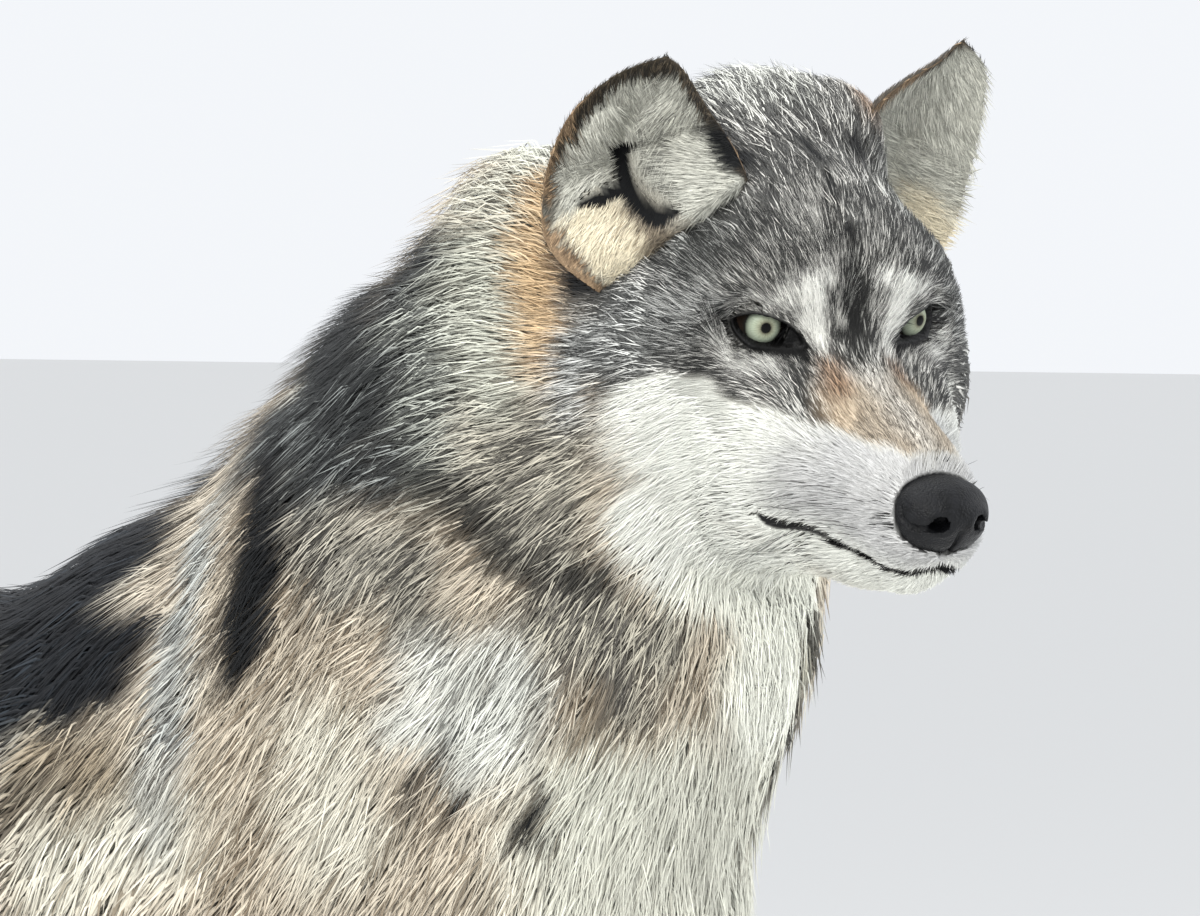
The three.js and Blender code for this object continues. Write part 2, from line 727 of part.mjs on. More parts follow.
// An ear: a leaf of even thickness between its two edges, cupped away from its opening.
function earSolid({ inner, outer, opening, cup }) {
  const [across, rings] = [8, 9];
  const innerEdge = new THREE.CatmullRomCurve3(inner.map((p) => new THREE.Vector3(...p)));
  const outerEdge = new THREE.CatmullRomCurve3(outer.map((p) => new THREE.Vector3(...p)));
  const back = new THREE.Vector3(...opening).normalize().negate();
  const middle = (u, v) => {
    const a = innerEdge.getPoint(v);
    const b = outerEdge.getPoint(v);
    const depth = cup * a.distanceTo(b) * Math.sin(Math.PI * u) ** 0.8;
    return a.lerp(b, u).addScaledVector(back, depth);
  };
  const normalAt = (u, v) => {
    const h = 0.02;
    const alongU = middle(Math.min(1, u + h), v).sub(middle(Math.max(0, u - h), v));
    const alongV = middle(u, Math.min(1, v + h)).sub(middle(u, Math.max(0, v - h)));
    return alongU.cross(alongV).normalize();
  };
  const facing = Math.sign(normalAt(0.5, 0.5).dot(back));
  const positions = [];
  const faces = [];
  const id = (layer, i, j) => (layer * (rings + 1) + j) * (across + 1) + i;
  for (const layer of [-0.5, 0.5])
    for (let j = 0; j <= rings; j++)
      for (let i = 0; i <= across; i++) {
        const [u, v] = [i / across, j / rings];
        const offset = layer * facing * EAR_THICKNESS * (1 - 0.4 * v);
        const p = middle(u, v).addScaledVector(normalAt(u, v), offset);
        positions.push(...toArray(p.applyMatrix4(fromHead)));
      }
  const quad = (a, b, c, d) => faces.push(a, b, c, a, c, d);
  for (let j = 0; j < rings; j++) {
    for (let i = 0; i < across; i++) {
      quad(id(1, i, j), id(1, i, j + 1), id(1, i + 1, j + 1), id(1, i + 1, j));
      quad(id(0, i, j), id(0, i + 1, j), id(0, i + 1, j + 1), id(0, i, j + 1));
    }
    quad(id(0, 0, j), id(0, 0, j + 1), id(1, 0, j + 1), id(1, 0, j));
    quad(id(0, across, j), id(1, across, j), id(1, across, j + 1), id(0, across, j + 1));
  }
  for (let i = 0; i < across; i++) {
    quad(id(0, i, 0), id(1, i, 0), id(1, i + 1, 0), id(0, i + 1, 0));
    quad(id(0, i, rings), id(0, i + 1, rings), id(1, i + 1, rings), id(1, i, rings));
  }
  if (facing > 0) faces.reverse();
  return solidOf(geometryOf(positions, faces));
}

function headParts() {
  const low = [-190, -540, 735];
  const high = [165, -180, 1075];
  const whole = meshed(body, low, high, CELL.head);
  const face = meshed(body, low, high, CELL.face);
  const eyes = [-1, 1].map((side) => ({ side, name: side > 0 ? "eye_left" : "eye_right" }));
  const eyeball = (side) => {
    const [x, y, z] = EYE.at;
    const reach = EYE.radius + 6;
    const lowEye = [x - reach, side * y - reach, z - reach];
    const highEye = [x + reach, side * y + reach, z + reach];
    const onSide = (px, py, pz) => eyeField(px, side * py, pz);
    return solidOf(netOf(onSide, lowEye, highEye, CELL.eye), fromHead);
  };
  let head = whole.intersect(headSide(GAP)).intersect(behind(SNOUT));
  for (const { side, name } of eyes) {
    add(name, eyeball(side), COLOUR.iris, WET);
    head = head.subtract(socketSolid(side)).subtract(grown(made[name]));
  }
  add("head", largest(head), COLOUR.grey);

  const noseBox = [
    [86, -28, -68],
    [134, 28, -20],
  ];
  const nostrilBox = [
    [108, -20, -58],
    [144, 20, -34],
  ];
  const nose = solidOf(netOf(noseField, ...noseBox, CELL.nose), fromHead);
  const nostrils = solidOf(netOf(nostrilField, ...nostrilBox, CELL.nostril), fromHead);
  const snout = face.intersect(headSide(GAP)).intersect(behind(reversed(SNOUT)));
  add("muzzle", largest(snout.intersect(behind(MOUTH)).subtract(grown(nose))), COLOUR.cream);
  add("jaw", largest(snout.intersect(behind(reversed(MOUTH)))), COLOUR.cream);
  add("nose", largest(nose.subtract(nostrils)), COLOUR.black, WET);
}

// Each ear is rooted in the head and the neck.
function earParts() {
  for (const [name, ear] of Object.entries(EARS)) {
    const solid = earSolid(ear).subtract(grown(made.head)).subtract(grown(made.neck));
    add(name, largest(solid), COLOUR.tan);
  }
}

trunkPart();
neckPart();
tailPart();
legParts();
footParts();
headParts();
earParts();

// The frame's origin is on the ground, below the middle of the model.
const extent = new THREE.Box3().setFromObject(wolf);
const middle = extent.getCenter(new THREE.Vector3());
for (const mesh of wolf.children) mesh.position.set(-middle.x, -middle.y, -extent.min.z);

export default wolf;
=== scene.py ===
"""A grey wolf in winter coat, standing with its head raised and turned to its right.

The skin and the coat are worked out in millimetres in the wolf's own frame: it faces -y, its left
is +x, and z is up from the floor. The head has a frame of its own: x forward, y left, z up.
place() takes both to the row frame, in metres.
"""

import math

import bpy
import numpy as np
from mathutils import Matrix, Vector


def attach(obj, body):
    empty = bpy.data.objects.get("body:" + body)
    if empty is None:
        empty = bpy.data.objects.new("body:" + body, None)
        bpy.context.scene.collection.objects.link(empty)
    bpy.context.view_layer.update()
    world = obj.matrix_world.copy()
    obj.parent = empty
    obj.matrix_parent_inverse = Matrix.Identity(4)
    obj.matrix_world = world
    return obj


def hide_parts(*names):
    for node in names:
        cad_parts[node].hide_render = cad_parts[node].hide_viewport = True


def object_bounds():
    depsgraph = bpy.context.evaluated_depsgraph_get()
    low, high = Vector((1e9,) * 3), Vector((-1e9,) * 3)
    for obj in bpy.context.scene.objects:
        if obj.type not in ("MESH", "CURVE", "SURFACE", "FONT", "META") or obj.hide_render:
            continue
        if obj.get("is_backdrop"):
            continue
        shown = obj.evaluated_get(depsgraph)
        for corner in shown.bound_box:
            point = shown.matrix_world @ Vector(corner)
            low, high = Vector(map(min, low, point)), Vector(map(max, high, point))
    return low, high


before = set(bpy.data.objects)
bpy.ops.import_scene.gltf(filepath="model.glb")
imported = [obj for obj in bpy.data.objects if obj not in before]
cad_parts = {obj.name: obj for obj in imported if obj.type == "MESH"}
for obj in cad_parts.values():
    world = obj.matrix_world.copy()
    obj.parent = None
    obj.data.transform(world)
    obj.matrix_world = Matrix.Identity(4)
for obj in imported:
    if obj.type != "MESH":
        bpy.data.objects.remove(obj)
cad_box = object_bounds()

SEED = 7
ROW_SHIFT = np.array([0.0, -170.51, -0.3])  # from the wolf's own origin to the row's, in mm
MM = 0.001

# ---- The head's frame ----

EYES_MIDDLE = np.array([-20.0, -400.0, 917.0])
HEAD_YAW, HEAD_PITCH, HEAD_ROLL = 21, 23, 2  # degrees: to the right, down, left eye raised


def turned(v, axis, degrees):
    """v turned about an axis."""
    c, s = math.cos(math.radians(degrees)), math.sin(math.radians(degrees))
    return v * c + np.cross(axis, v) * s + axis * (axis @ v) * (1 - c)


def head_basis():
    """The head's forward, left and up directions, as the columns of a matrix."""
    yaw = math.radians(HEAD_YAW)
    ahead = np.array([-math.sin(yaw), -math.cos(yaw), 0.0])
    left = np.cross([0, 0, 1.0], ahead)
    ahead = turned(ahead, left, HEAD_PITCH)
    left = turned(left, ahead, HEAD_ROLL)
    return np.stack([ahead, left, np.cross(ahead, left)], 1)


HEAD = head_basis()


def to_head(p):
    return (np.asarray(p, float) - EYES_MIDDLE) @ HEAD


def from_head(p):
    return EYES_MIDDLE + np.asarray(p, float) @ HEAD.T


def place(p):
    """Points of the wolf's own frame in the row frame, in metres."""
    return (np.asarray(p, float) + ROW_SHIFT) * MM


# ---- Fields: each is a function of points that is negative inside, in mm ----

FAR_OUT = 500.0  # mm: what a boxed field gives outside its box


def ball(at, radii):
    at, radii = np.array(at, float), np.array(radii, float)

    def field(p):
        q = (p - at) / radii
        k = np.linalg.norm(q, axis=1)
        slope = np.maximum(np.linalg.norm(q / radii, axis=1), 1e-9)
        return np.where(k < 1e-4, -radii.min(), k * (k - 1) / slope)

    return field


def limb(a, b, radius_a, radius_b):
    a, b = np.array(a, float), np.array(b, float)
    along = b - a

    def field(p):
        t = np.clip((p - a) @ along / (along @ along), 0, 1)
        off = np.linalg.norm(p - a - t[:, None] * along, axis=1)
        return off - radius_a - t * (radius_b - radius_a)

    return field


def softest(d, e, softness):
    """The smaller of two fields, with a fillet where they meet."""
    near = np.maximum(softness - np.abs(d - e), 0) / softness
    return np.minimum(d, e) - near * near * softness / 4


def blend(softness, *fields):
    def field(p):
        d = fields[0](p)
        for other in fields[1:]:
            d = softest(d, other(p), softness)
        return d

    return field


def chain(softness, stations):
    pairs = zip(stations[:-1], stations[1:])
    return blend(softness, *[limb(a[:3], b[:3], a[3], b[3]) for a, b in pairs])


def tipped(field, at, degrees):
    """A field turned about a line through a point, along x."""
    at = np.array(at, float)
    c, s = math.cos(math.radians(degrees)), math.sin(math.radians(degrees))
    turn = np.array([[1, 0, 0], [0, c, -s], [0, s, c]])
    return lambda p: field((p - at) @ turn + at)


def head_left(h):
    """Points of the head's frame brought over to its left side."""
    return h * [1, 0, 1] + np.abs(h) * [0, 1, 0]


def body_left(p):
    """Points of the wolf's own frame brought over to its left side."""
    return np.abs(p) * [1, 0, 0] + p * [0, 1, 1]


def mirrored(field):
    return lambda p: field(head_left(p))


def within(field, low, high):
    """A field worked out only inside a box, and far away outside it."""
    low, high = np.array(low, float), np.array(high, float)

    def boxed(p):
        d = np.full(len(p), FAR_OUT)
        inside = np.all((p > low) & (p < high), axis=1)
        if inside.any():
            d[inside] = field(p[inside])
        return d

    return boxed


def head_field():
    return blend(
        26,
        ball([-66, 0, 12], [74, 57, 60]),  # cranium
        ball([-108, 6, 12], [52, 54, 71]),  # nape
        mirrored(ball([-44, 48, 4], [44, 34, 36])),  # temple
        mirrored(ball([-26, 24, 12], [34, 28, 24])),  # brow
        mirrored(ball([-44, 60, -38], [50, 42, 52])),  # cheek
        limb([0, 0, -30], [98, 0, -46], 30, 24),  # bridge of the nose
        mirrored(limb([14, 16, -56], [96, 9, -60], 28, 18)),  # upper lip
        limb([-20, 0, -92], [90, 0, -82], 32, 13),  # lower jaw
        mirrored(limb([-30, 28, -88], [60, 10, -84], 28, 13)),
        mirrored(ball([-58, 68, -80], [56, 40, 56])),  # cheek ruff
        mirrored(ball([14, 43, -62], [36, 22, 42])),  # between the lip and the cheek
        ball([-91, 41, 60], [26, 24, 25]),  # under the left ear
    )


def neck_field():
    line = [[24, -252, 900, 94], [6, -225, 846, 115], [0, -165, 778, 120], [0, -90, 706, 134]]
    return blend(
        44,
        chain(30, line),
        ball([-6, -280, 778], [96, 76, 105]),  # throat
        ball([-8, -231, 960], [54, 33, 37]),  # the mane behind the ears
        ball([-4, -205, 655], [118, 108, 150]),  # breast
        ball([0, -15, 722], [92, 110, 96]),  # withers
    )


def trunk_field():
    return blend(
        50,
        ball([0, 120, 612], [138, 280, 166]),  # ribs
        ball([0, -70, 612], [138, 160, 180]),  # chest
        ball([0, 350, 652], [108, 200, 124]),  # loin
        ball([0, 515, 655], [110, 150, 126]),  # rump
        ball([0, 290, 556], [88, 200, 76]),  # belly
    )


TAIL_LINE = [
    [0, 620, 702, 50],
    [0, 692, 662, 48],
    [2, 748, 560, 58],
    [6, 772, 450, 62],
    [10, 768, 350, 50],
    [14, 748, 258, 20],
]
FORE_STEP = {-1: -16, 1: 22}  # how far back each foot stands: the right is -1, the left 1
HIND_STEP = {-1: 32, 1: -26}


def foreleg_field(side, step):
    shoulder = [side * 92, -78, 575]
    return blend(
        26,
        tipped(ball(shoulder, [56, 78, 120]), shoulder, -18),
        ball([side * 92, -12, 478], [44, 56, 58]),  # elbow
        limb([side * 90, -30, 470], [side * 82, -50 + step * 0.6, 240], 46, 33),
        ball([side * 81, -52 + step * 0.65, 212], [32, 34, 38]),  # wrist
        limb([side * 81, -50 + step * 0.7, 200], [side * 79, -66 + step, 70], 29, 30),
    )


def hindleg_field(side, step):
    thigh = [side * 78, 500, 560]
    return blend(
        26,
        tipped(ball(thigh, [58, 114, 150]), thigh, 16),
        ball([side * 90, 424, 462], [44, 58, 66]),  # knee
        limb([side * 90, 442, 450], [side * 84, 595 + step * 0.8, 285], 55, 32),
        ball([side * 83, 618 + step * 0.8, 256], [27, 36, 37]),  # hock
        limb([side * 83, 612 + step * 0.8, 240], [side * 81, 580 + step, 72], 28, 30),
    )


TOES = [-33, -12, 12, 33]  # how far each toe lies to the side of the foot's middle
FEET = {  # the middle of each foot on the floor, and its size
    "forefoot_right": (-79, -104, 1.0),
    "forefoot_left": (79, -66, 1.0),
    "hindfoot_right": (-81, 590, 0.9),
    "hindfoot_left": (81, 532, 0.9),
}


def toe_ahead(across):
    return -62 if abs(across) < 20 else -42


def foot_field(x, y, size):
    toes = [
        ball([x + a * size, y + toe_ahead(a) * size, 20 * size], np.array([15.5, 30, 23]) * size)
        for a in TOES
    ]
    return blend(
        9,
        ball([x, y - 2, 36 * size], np.array([38, 48, 36]) * size),
        ball([x, y - 26 * size, 17], [36 * size, 58 * size, 22]),
        *toes,
    )


def leg_with_foot(leg, side, step, foot):
    x, y, size = FEET[foot]
    joined = blend(18, leg(side, step), foot_field(x, y, size))
    low, high = (y - 150, y + 190) if y < 100 else (y - 260, y + 190)
    sides = (-10, 210) if side > 0 else (-210, 10)
    return within(joined, [sides[0], low, -60], [sides[1], high, 800])


def body_field():
    head = head_field()
    return blend(
        30,
        trunk_field(),
        within(neck_field(), [-230, -480, 420], [230, 200, 1120]),
        within(lambda p: head(to_head(p)), [-230, -620, 680], [230, -150, 1120]),
        leg_with_foot(foreleg_field, -1, FORE_STEP[-1], "forefoot_right"),
        leg_with_foot(foreleg_field, 1, FORE_STEP[1], "forefoot_left"),
        leg_with_foot(hindleg_field, -1, HIND_STEP[-1], "hindfoot_right"),
        leg_with_foot(hindleg_field, 1, HIND_STEP[1], "hindfoot_left"),
    )


def outline_field():
    """The outline of the coat, out to its tips."""
    body = body_field()
    rear = blend(38, trunk_field(), within(chain(30, TAIL_LINE), [-160, 480, 160], [160, 900, 860]))
    tail = within(rear, [-200, 440, 160], [200, 900, 880])
    return lambda p: np.minimum(body(p), tail(p))


outline = outline_field()


# ---- The coat's depth, length and lie at named places ----
# Each row: a point on the left side, which way the hair lies there, the coat's depth, and the
# length and width of a tuft, in mm. The head's rows are in the head's frame.

HEAD_COAT = {
    "nose top": ([98, 0, -28], [-1, 0, 0.2], 1.4, 5, 0.8),
    "bridge": ([50, 0, -10], [-1, 0, 0.3], 1.6, 8, 0.9),
    "lip front": ([96, 22, -62], [-1, 0.5, -0.25], 1.5, 6, 0.8),
    "lip middle": ([60, 36, -62], [-1, 0.4, -0.3], 2, 9, 0.9),
    "lip corner": ([32, 44, -74], [-0.9, 0.5, -0.4], 3, 13, 1.0),
    "chin": ([88, 8, -94], [-0.9, 0.1, -0.4], 2, 8, 0.9),
    "jaw": ([40, 24, -106], [-0.85, 0.3, -0.5], 6, 20, 1.3),
    "stop": ([20, 0, 5], [-0.7, 0, 0.75], 2, 9, 0.9),
    "brow": ([4, 24, 22], [-0.75, 0.35, 0.6], 2.4, 11, 1.0),
    "inner eye": ([22, 30, -8], [-0.75, 0.3, 0.5], 1.6, 7, 0.8),
    "forehead": ([-22, 0, 52], [-0.85, 0.05, 0.5], 4, 17, 1.2),
    "temple": ([-24, 66, 22], [-0.9, 0.35, 0.15], 4, 17, 1.2),
    "crown": ([-66, 0, 74], [-1, 0, 0.3], 7, 26, 1.4),
    "crown side": ([-52, 34, 62], [-0.9, 0.15, 0.35], 6, 22, 1.3),
    "back of head": ([-112, 0, 78], [-0.9, 0, -0.3], 16, 42, 1.7),
    "outer eye": ([-8, 62, 0], [-0.9, 0.45, -0.05], 2.2, 11, 1.0),
    "under eye": ([14, 50, -20], [-0.8, 0.55, -0.35], 2.2, 11, 1.0),
    "cheek": ([-2, 76, -48], [-0.75, 0.45, -0.45], 6, 25, 1.3),
    "low cheek": ([12, 58, -96], [-0.65, 0.4, -0.65], 9, 32, 1.5),
    "ear base": ([-62, 84, 2], [-0.9, 0.3, -0.2], 6, 22, 1.3),
    "ruff": ([-34, 108, -62], [-0.75, 0.35, -0.6], 14, 42, 1.7),
    "low ruff": ([-26, 98, -116], [-0.5, 0.3, -0.8], 18, 50, 1.8),
    "back ruff": ([-84, 124, -62], [-0.8, 0.2, -0.6], 22, 56, 1.9),
    "behind ear": ([-118, 92, 12], [-0.85, 0.2, -0.5], 20, 50, 1.8),
    "under jaw": ([8, 0, -124], [-0.7, 0, -0.7], 12, 38, 1.7),
}
BODY_COAT = {
    "nape": ([8, -205, 975], [0, 0.8, -0.6], 26, 70, 2.1),
    "upper neck": ([102, -240, 895], [0.1, 0.75, -0.65], 27, 66, 2.0),
    "middle neck": ([116, -200, 830], [0.05, 0.65, -0.75], 30, 74, 2.1),
    "lower neck": ([126, -150, 755], [0, 0.6, -0.8], 30, 76, 2.2),
    "throat": ([0, -352, 800], [0, 0.2, -1], 26, 62, 2.0),
    "side of throat": ([78, -318, 790], [0.15, 0.4, -0.95], 26, 66, 2.0),
    "breast": ([0, -330, 680], [0, 0.25, -1], 28, 72, 2.2),
    "side of breast": ([100, -250, 660], [0.05, 0.45, -0.9], 28, 72, 2.2),
    "low breast": ([0, -260, 540], [0, 0.5, -0.9], 22, 60, 2.2),
    "withers": ([0, -50, 838], [0, 0.95, -0.3], 32, 80, 2.3),
    "side of withers": ([88, -30, 780], [0.1, 0.8, -0.6], 30, 76, 2.3),
    "shoulder": ([128, -80, 690], [0, 0.5, -0.85], 24, 62, 2.2),
    "upper arm": ([122, -80, 570], [0, 0.3, -0.95], 17, 46, 2.1),
    "back": ([0, 150, 776], [0, 1, -0.1], 24, 60, 2.4),
    "loin": ([0, 350, 774], [0, 1, -0.05], 22, 54, 2.4),
    "rump": ([0, 570, 770], [0, 0.9, -0.45], 20, 54, 2.4),
    "ribs": ([134, 120, 640], [0, 0.8, -0.55], 22, 56, 2.4),
    "low ribs": ([96, 120, 490], [0, 0.75, -0.6], 20, 54, 2.4),
    "belly": ([0, 230, 470], [0, 0.95, -0.2], 16, 50, 2.4),
    "flank": ([104, 350, 600], [0, 0.7, -0.7], 18, 50, 2.4),
    "thigh": ([132, 520, 590], [0, 0.4, -0.9], 15, 46, 2.3),
    "back of thigh": ([90, 630, 560], [0, 0.2, -1], 18, 52, 2.3),
    "knee": ([128, 420, 460], [0, 0.35, -0.9], 9, 32, 2.1),
    "shank": ([90, 530, 370], [0, 0.4, -0.9], 7, 24, 1.9),
    "hock": ([84, 625, 256], [0, 0.1, -1], 5, 16, 1.7),
    "hind pastern": ([82, 595, 150], [0, -0.15, -1], 4, 13, 1.6),
    "elbow": ([116, -10, 480], [0, 0.3, -0.95], 11, 34, 2.1),
    "forearm": ([88, -40, 350], [0, 0.1, -1], 7, 22, 1.8),
    "wrist": ([81, -50, 210], [0, 0, -1], 4.5, 13, 1.6),
    "pastern": ([80, -66, 110], [0, -0.25, -1], 4, 12, 1.6),
    "forefoot": ([79, -120, 40], [0, -0.9, -0.4], 3, 9, 1.4),
    "hindfoot": ([81, 530, 40], [0, -0.9, -0.4], 3, 9, 1.4),
    "root of tail": ([0, 655, 745], [0, 0.75, -0.65], 22, 56, 2.3),
    "tail": ([0, 770, 560], [0, 0.25, -1], 26, 70, 2.4),
    "low tail": ([10, 790, 400], [0, 0, -1], 25, 70, 2.4),
    "tip of tail": ([14, 760, 270], [0, -0.2, -1], 11, 52, 2.2),
}


def coat_table():
    """Every named place on both sides: points, lies and the three sizes."""
    points, lies, sizes = [], [], []
    for rows, in_head in ((HEAD_COAT, True), (BODY_COAT, False)):
        for at, lie, *size in rows.values():
            for side in (1, -1):
                flip = np.array([1, side, 1] if in_head else [side, 1, 1], float)
                point, way = at * flip, lie * flip
                if in_head:
                    point, way = from_head(point), HEAD @ way
                points.append(point)
                lies.append(way / np.linalg.norm(way))
                sizes.append(size)
    return np.array(points), np.array(lies), np.array(sizes, float)


COAT_POINTS, COAT_LIES, COAT_SIZES = coat_table()
COAT_REACH = 16.0  # mm within which a place's own row holds
COAT_FALLOFF = 2.2  # how fast its say falls off further out
COAT_SLICE, NET_SLICE = 40000, 400000  # points worked on at a time
LEAST_SLOPE = 0.2  # of a field's squared slope, where points are moved down it


def in_parts(work, count, p):
    """work(p) done on slices of the points, so that the arrays stay small."""
    cuts = range(0, len(p), count)
    return [work(p[i : i + count]) for i in cuts] or [work(p)]


def coat_at(p):
    """The lie of the coat and its depth, length and width at points."""

    def part(q):
        far2 = ((q[:, None, :] - COAT_POINTS[None]) ** 2).sum(2)
        share = 1 / (far2 + COAT_REACH**2) ** COAT_FALLOFF
        share /= share.sum(1)[:, None]
        return np.hstack([share @ COAT_LIES, share @ COAT_SIZES])

    found = np.vstack(in_parts(part, COAT_SLICE, p.astype(np.float32)))
    lie = found[:, :3] / np.maximum(np.linalg.norm(found[:, :3], axis=1), 1e-6)[:, None]
    return lie, found[:, 3], found[:, 4], found[:, 5]


def skin_field(p):
    """The skin: the outline, less the coat's depth."""
    d = outline(p)
    near = (d > -90) & (d < 30)
    skin = d + 20
    if near.any():
        skin[near] = d[near] + coat_at(p[near])[1]
    return skin


# ---- Meshing ----


def gradient(field, p, h=0.4):
    steps = np.eye(3) * h
    return np.stack([field(p + s) - field(p - s) for s in steps], 1) / (2 * h)


def settle(field, p, rounds=3, reach=3.0):
    """Moves points on to a field's surface."""
    for _ in range(rounds):
        g = gradient(field, p)
        move = -field(p)[:, None] * g / np.maximum((g * g).sum(1), LEAST_SLOPE)[:, None]
        size = np.linalg.norm(move, axis=1)
        p = p + move * np.minimum(1, reach / np.maximum(size, 1e-9))[:, None]
    return p


def net(field, low, high, cell):
    """Surface nets: a vertex in each cell that the surface crosses, as points and triangles."""
    axes = [np.arange(l, h + cell, cell) for l, h in zip(low, high)]
    shape = tuple(len(a) for a in axes)
    grid = np.stack(np.meshgrid(*axes, indexing="ij"), -1).reshape(-1, 3)
    values = np.concatenate(in_parts(field, NET_SLICE, grid)).reshape(shape)
    inside = values < 0
    corner = [inside[i : shape[0] - 1 + i, j : shape[1] - 1 + j, k : shape[2] - 1 + k]
              for i in (0, 1) for j in (0, 1) for k in (0, 1)]
    count = sum(c.astype(int) for c in corner)
    cells = np.argwhere((count > 0) & (count < 8))
    total, crossings = np.zeros((len(cells), 3)), np.zeros(len(cells))
    for axis in range(3):
        others = [a for a in range(3) if a != axis]
        for u in (0, 1):
            for v in (0, 1):
                start = cells.copy()
                start[:, others[0]] += u
                start[:, others[1]] += v
                end = start.copy()
                end[:, axis] += 1
                a, b = values[tuple(start.T)], values[tuple(end.T)]
                crossed = (a < 0) != (b < 0)
                t = np.where(crossed, a / np.where(crossed, a - b, 1), 0)
                at = start - cells + t[:, None] * np.eye(3)[axis]
                total += at * crossed[:, None]
                crossings += crossed
    points = np.array(low) + (cells + total / crossings[:, None]) * cell
    number = np.full(tuple(s - 1 for s in shape), -1)
    number[tuple(cells.T)] = np.arange(len(cells))
    quads = []
    for axis in range(3):
        b, c = (axis + 1) % 3, (axis + 2) % 3
        lower = [slice(None)] * 3
        upper = [slice(None)] * 3
        lower[axis], upper[axis] = slice(0, -1), slice(1, None)
        edges = np.argwhere(inside[tuple(lower)] != inside[tuple(upper)])
        edges = edges[(edges[:, b] > 0) & (edges[:, c] > 0)]
        step_b, step_c = np.eye(3, dtype=int)[b], np.eye(3, dtype=int)[c]
        ring = [edges - step_b - step_c, edges - step_c, edges, edges - step_b]
        quad = np.stack([number[tuple(r.T)] for r in ring], 1)
        flip = ~inside[tuple(edges.T)]
        quad[flip] = quad[flip][:, ::-1]
        quads.append(quad)
    quads = np.vstack(quads)
    p, q, r, s = (points[quads[:, i]] for i in range(4))
    short = np.linalg.norm(p - r, axis=1) < np.linalg.norm(q - s, axis=1)
    one = np.where(short[:, None], quads[:, [0, 1, 2]], quads[:, [1, 2, 3]])
    two = np.where(short[:, None], quads[:, [0, 2, 3]], quads[:, [1, 3, 0]])
    return points, np.vstack([one, two])


def refine(points, faces, too_long):
    """Splits each edge that too_long(middle, length) picks, and the faces on it to match."""
    edges = np.sort(np.vstack([faces[:, [0, 1]], faces[:, [1, 2]], faces[:, [2, 0]]]), axis=1)
    unique, index = np.unique(edges, axis=0, return_inverse=True)
    index = index.reshape(3, -1).T
    ends = points[unique]
    middle = ends.mean(1)
    split = too_long(middle, np.linalg.norm(ends[:, 0] - ends[:, 1], axis=1))
    new = np.full(len(unique), -1)
    new[split] = len(points) + np.arange(split.sum())
    points = np.vstack([points, middle[split]])
    mid = new[index]
    marked = mid >= 0
    result = [faces[marked.sum(1) == 0]]
    for turn in range(3):  # each face is turned so that its pattern of split edges comes first
        order = [(turn + i) % 3 for i in range(3)]
        a, b, c = faces[:, order].T
        ab, bc, ca = mid[:, order].T
        m0, m1, m2 = marked[:, order].T
        one = m0 & ~m1 & ~m2
        result += [np.stack(t, 1)[one] for t in ((a, ab, c), (ab, b, c))]
        two = m0 & m1 & ~m2
        result += [np.stack(t, 1)[two] for t in ((ab, b, bc), (a, ab, bc), (a, bc, c))]
        if turn == 0:
            three = m0 & m1 & m2
            parts = ((a, ab, ca), (ab, b, bc), (ca, bc, c), (ab, bc, ca))
            result += [np.stack(t, 1)[three] for t in parts]
    return points, np.vstack(result)


def normals_of(points, faces):
    a, b, c = (points[faces[:, i]] for i in range(3))
    flat = np.cross(b - a, c - a)
    total = np.zeros_like(points)
    for i in range(3):
        np.add.at(total, faces[:, i], flat)
    return total / np.maximum(np.linalg.norm(total, axis=1), 1e-9)[:, None]


# ---- The eyes' openings ----
# Each eye has a frame of its own in the head's frame, for the left eye: along from its inner
# corner to its outer one, up, and out through the lids.

EYE = np.array([-8, 40.8, 1.0])
EYE_RADIUS = 12.3
GAZE = {"outward": 15, "up": 10}  # degrees from the head's own forward
LID_MIDDLE = np.array([8.0, 46.2, 1.1])
LID_ALONG = np.array([-0.70, 0.70, 0.15])
LID_OUT = np.array([0.72, 0.69, 0.0])
LID_HALF = 17.2  # mm from the lids' middle to a corner
LID_RISE, LID_FALL = 7.3, 6.4  # mm that the upper lid arches and the lower one drops


def unit(v):
    v = np.asarray(v, float)
    return v / np.linalg.norm(v)


def lid_basis():
    along = unit(LID_ALONG)
    out = unit(LID_OUT - along * (LID_OUT @ along))
    return np.stack([along, np.cross(out, along), out], 1)


LIDS = lid_basis()


def to_lids(h, side):
    """Points of the head's frame in the frame of the lids on one side."""
    return (h * [1, side, 1] - LID_MIDDLE) @ LIDS


def from_lids(q, side):
    return (LID_MIDDLE + np.asarray(q, float) @ LIDS.T) * [1, side, 1]


def lid_edges(along):
    """How high the upper lid's edge and the lower one's lie, along the eye."""
    t = np.clip(along / LID_HALF, -1, 1)
    tuck = 1.6 * np.maximum(-t - 0.45, 0) * 2  # both dip towards the inner corner
    round_up = np.maximum(1 - np.abs(t - 0.16) ** 2.0 / (1.16 - 0.32 * (t > 0.16)) ** 2.0, 0)
    upper = LID_RISE * round_up**0.8 - tuck
    round_down = np.maximum(1 - np.abs(t - 0.12) ** 2.2 / (1.12 - 0.24 * (t > 0.12)) ** 2.2, 0)
    lower = -LID_FALL * round_down**0.9 - tuck
    return upper, lower


def eyeball_height(along, up):
    """How far out the eyeball's front lies in the lids' frame, and -99 past its rim."""
    centre = to_lids(EYE[None], 1)[0]
    rest = EYE_RADIUS**2 - (along - centre[0]) ** 2 - (up - centre[1]) ** 2
    return np.where(rest > 0, centre[2] + np.sqrt(np.maximum(rest, 0)), -99.0)


def smooth(low, high, x):
    t = np.clip((x - low) / (high - low), 0, 1)
    return t * t * (3 - 2 * t)


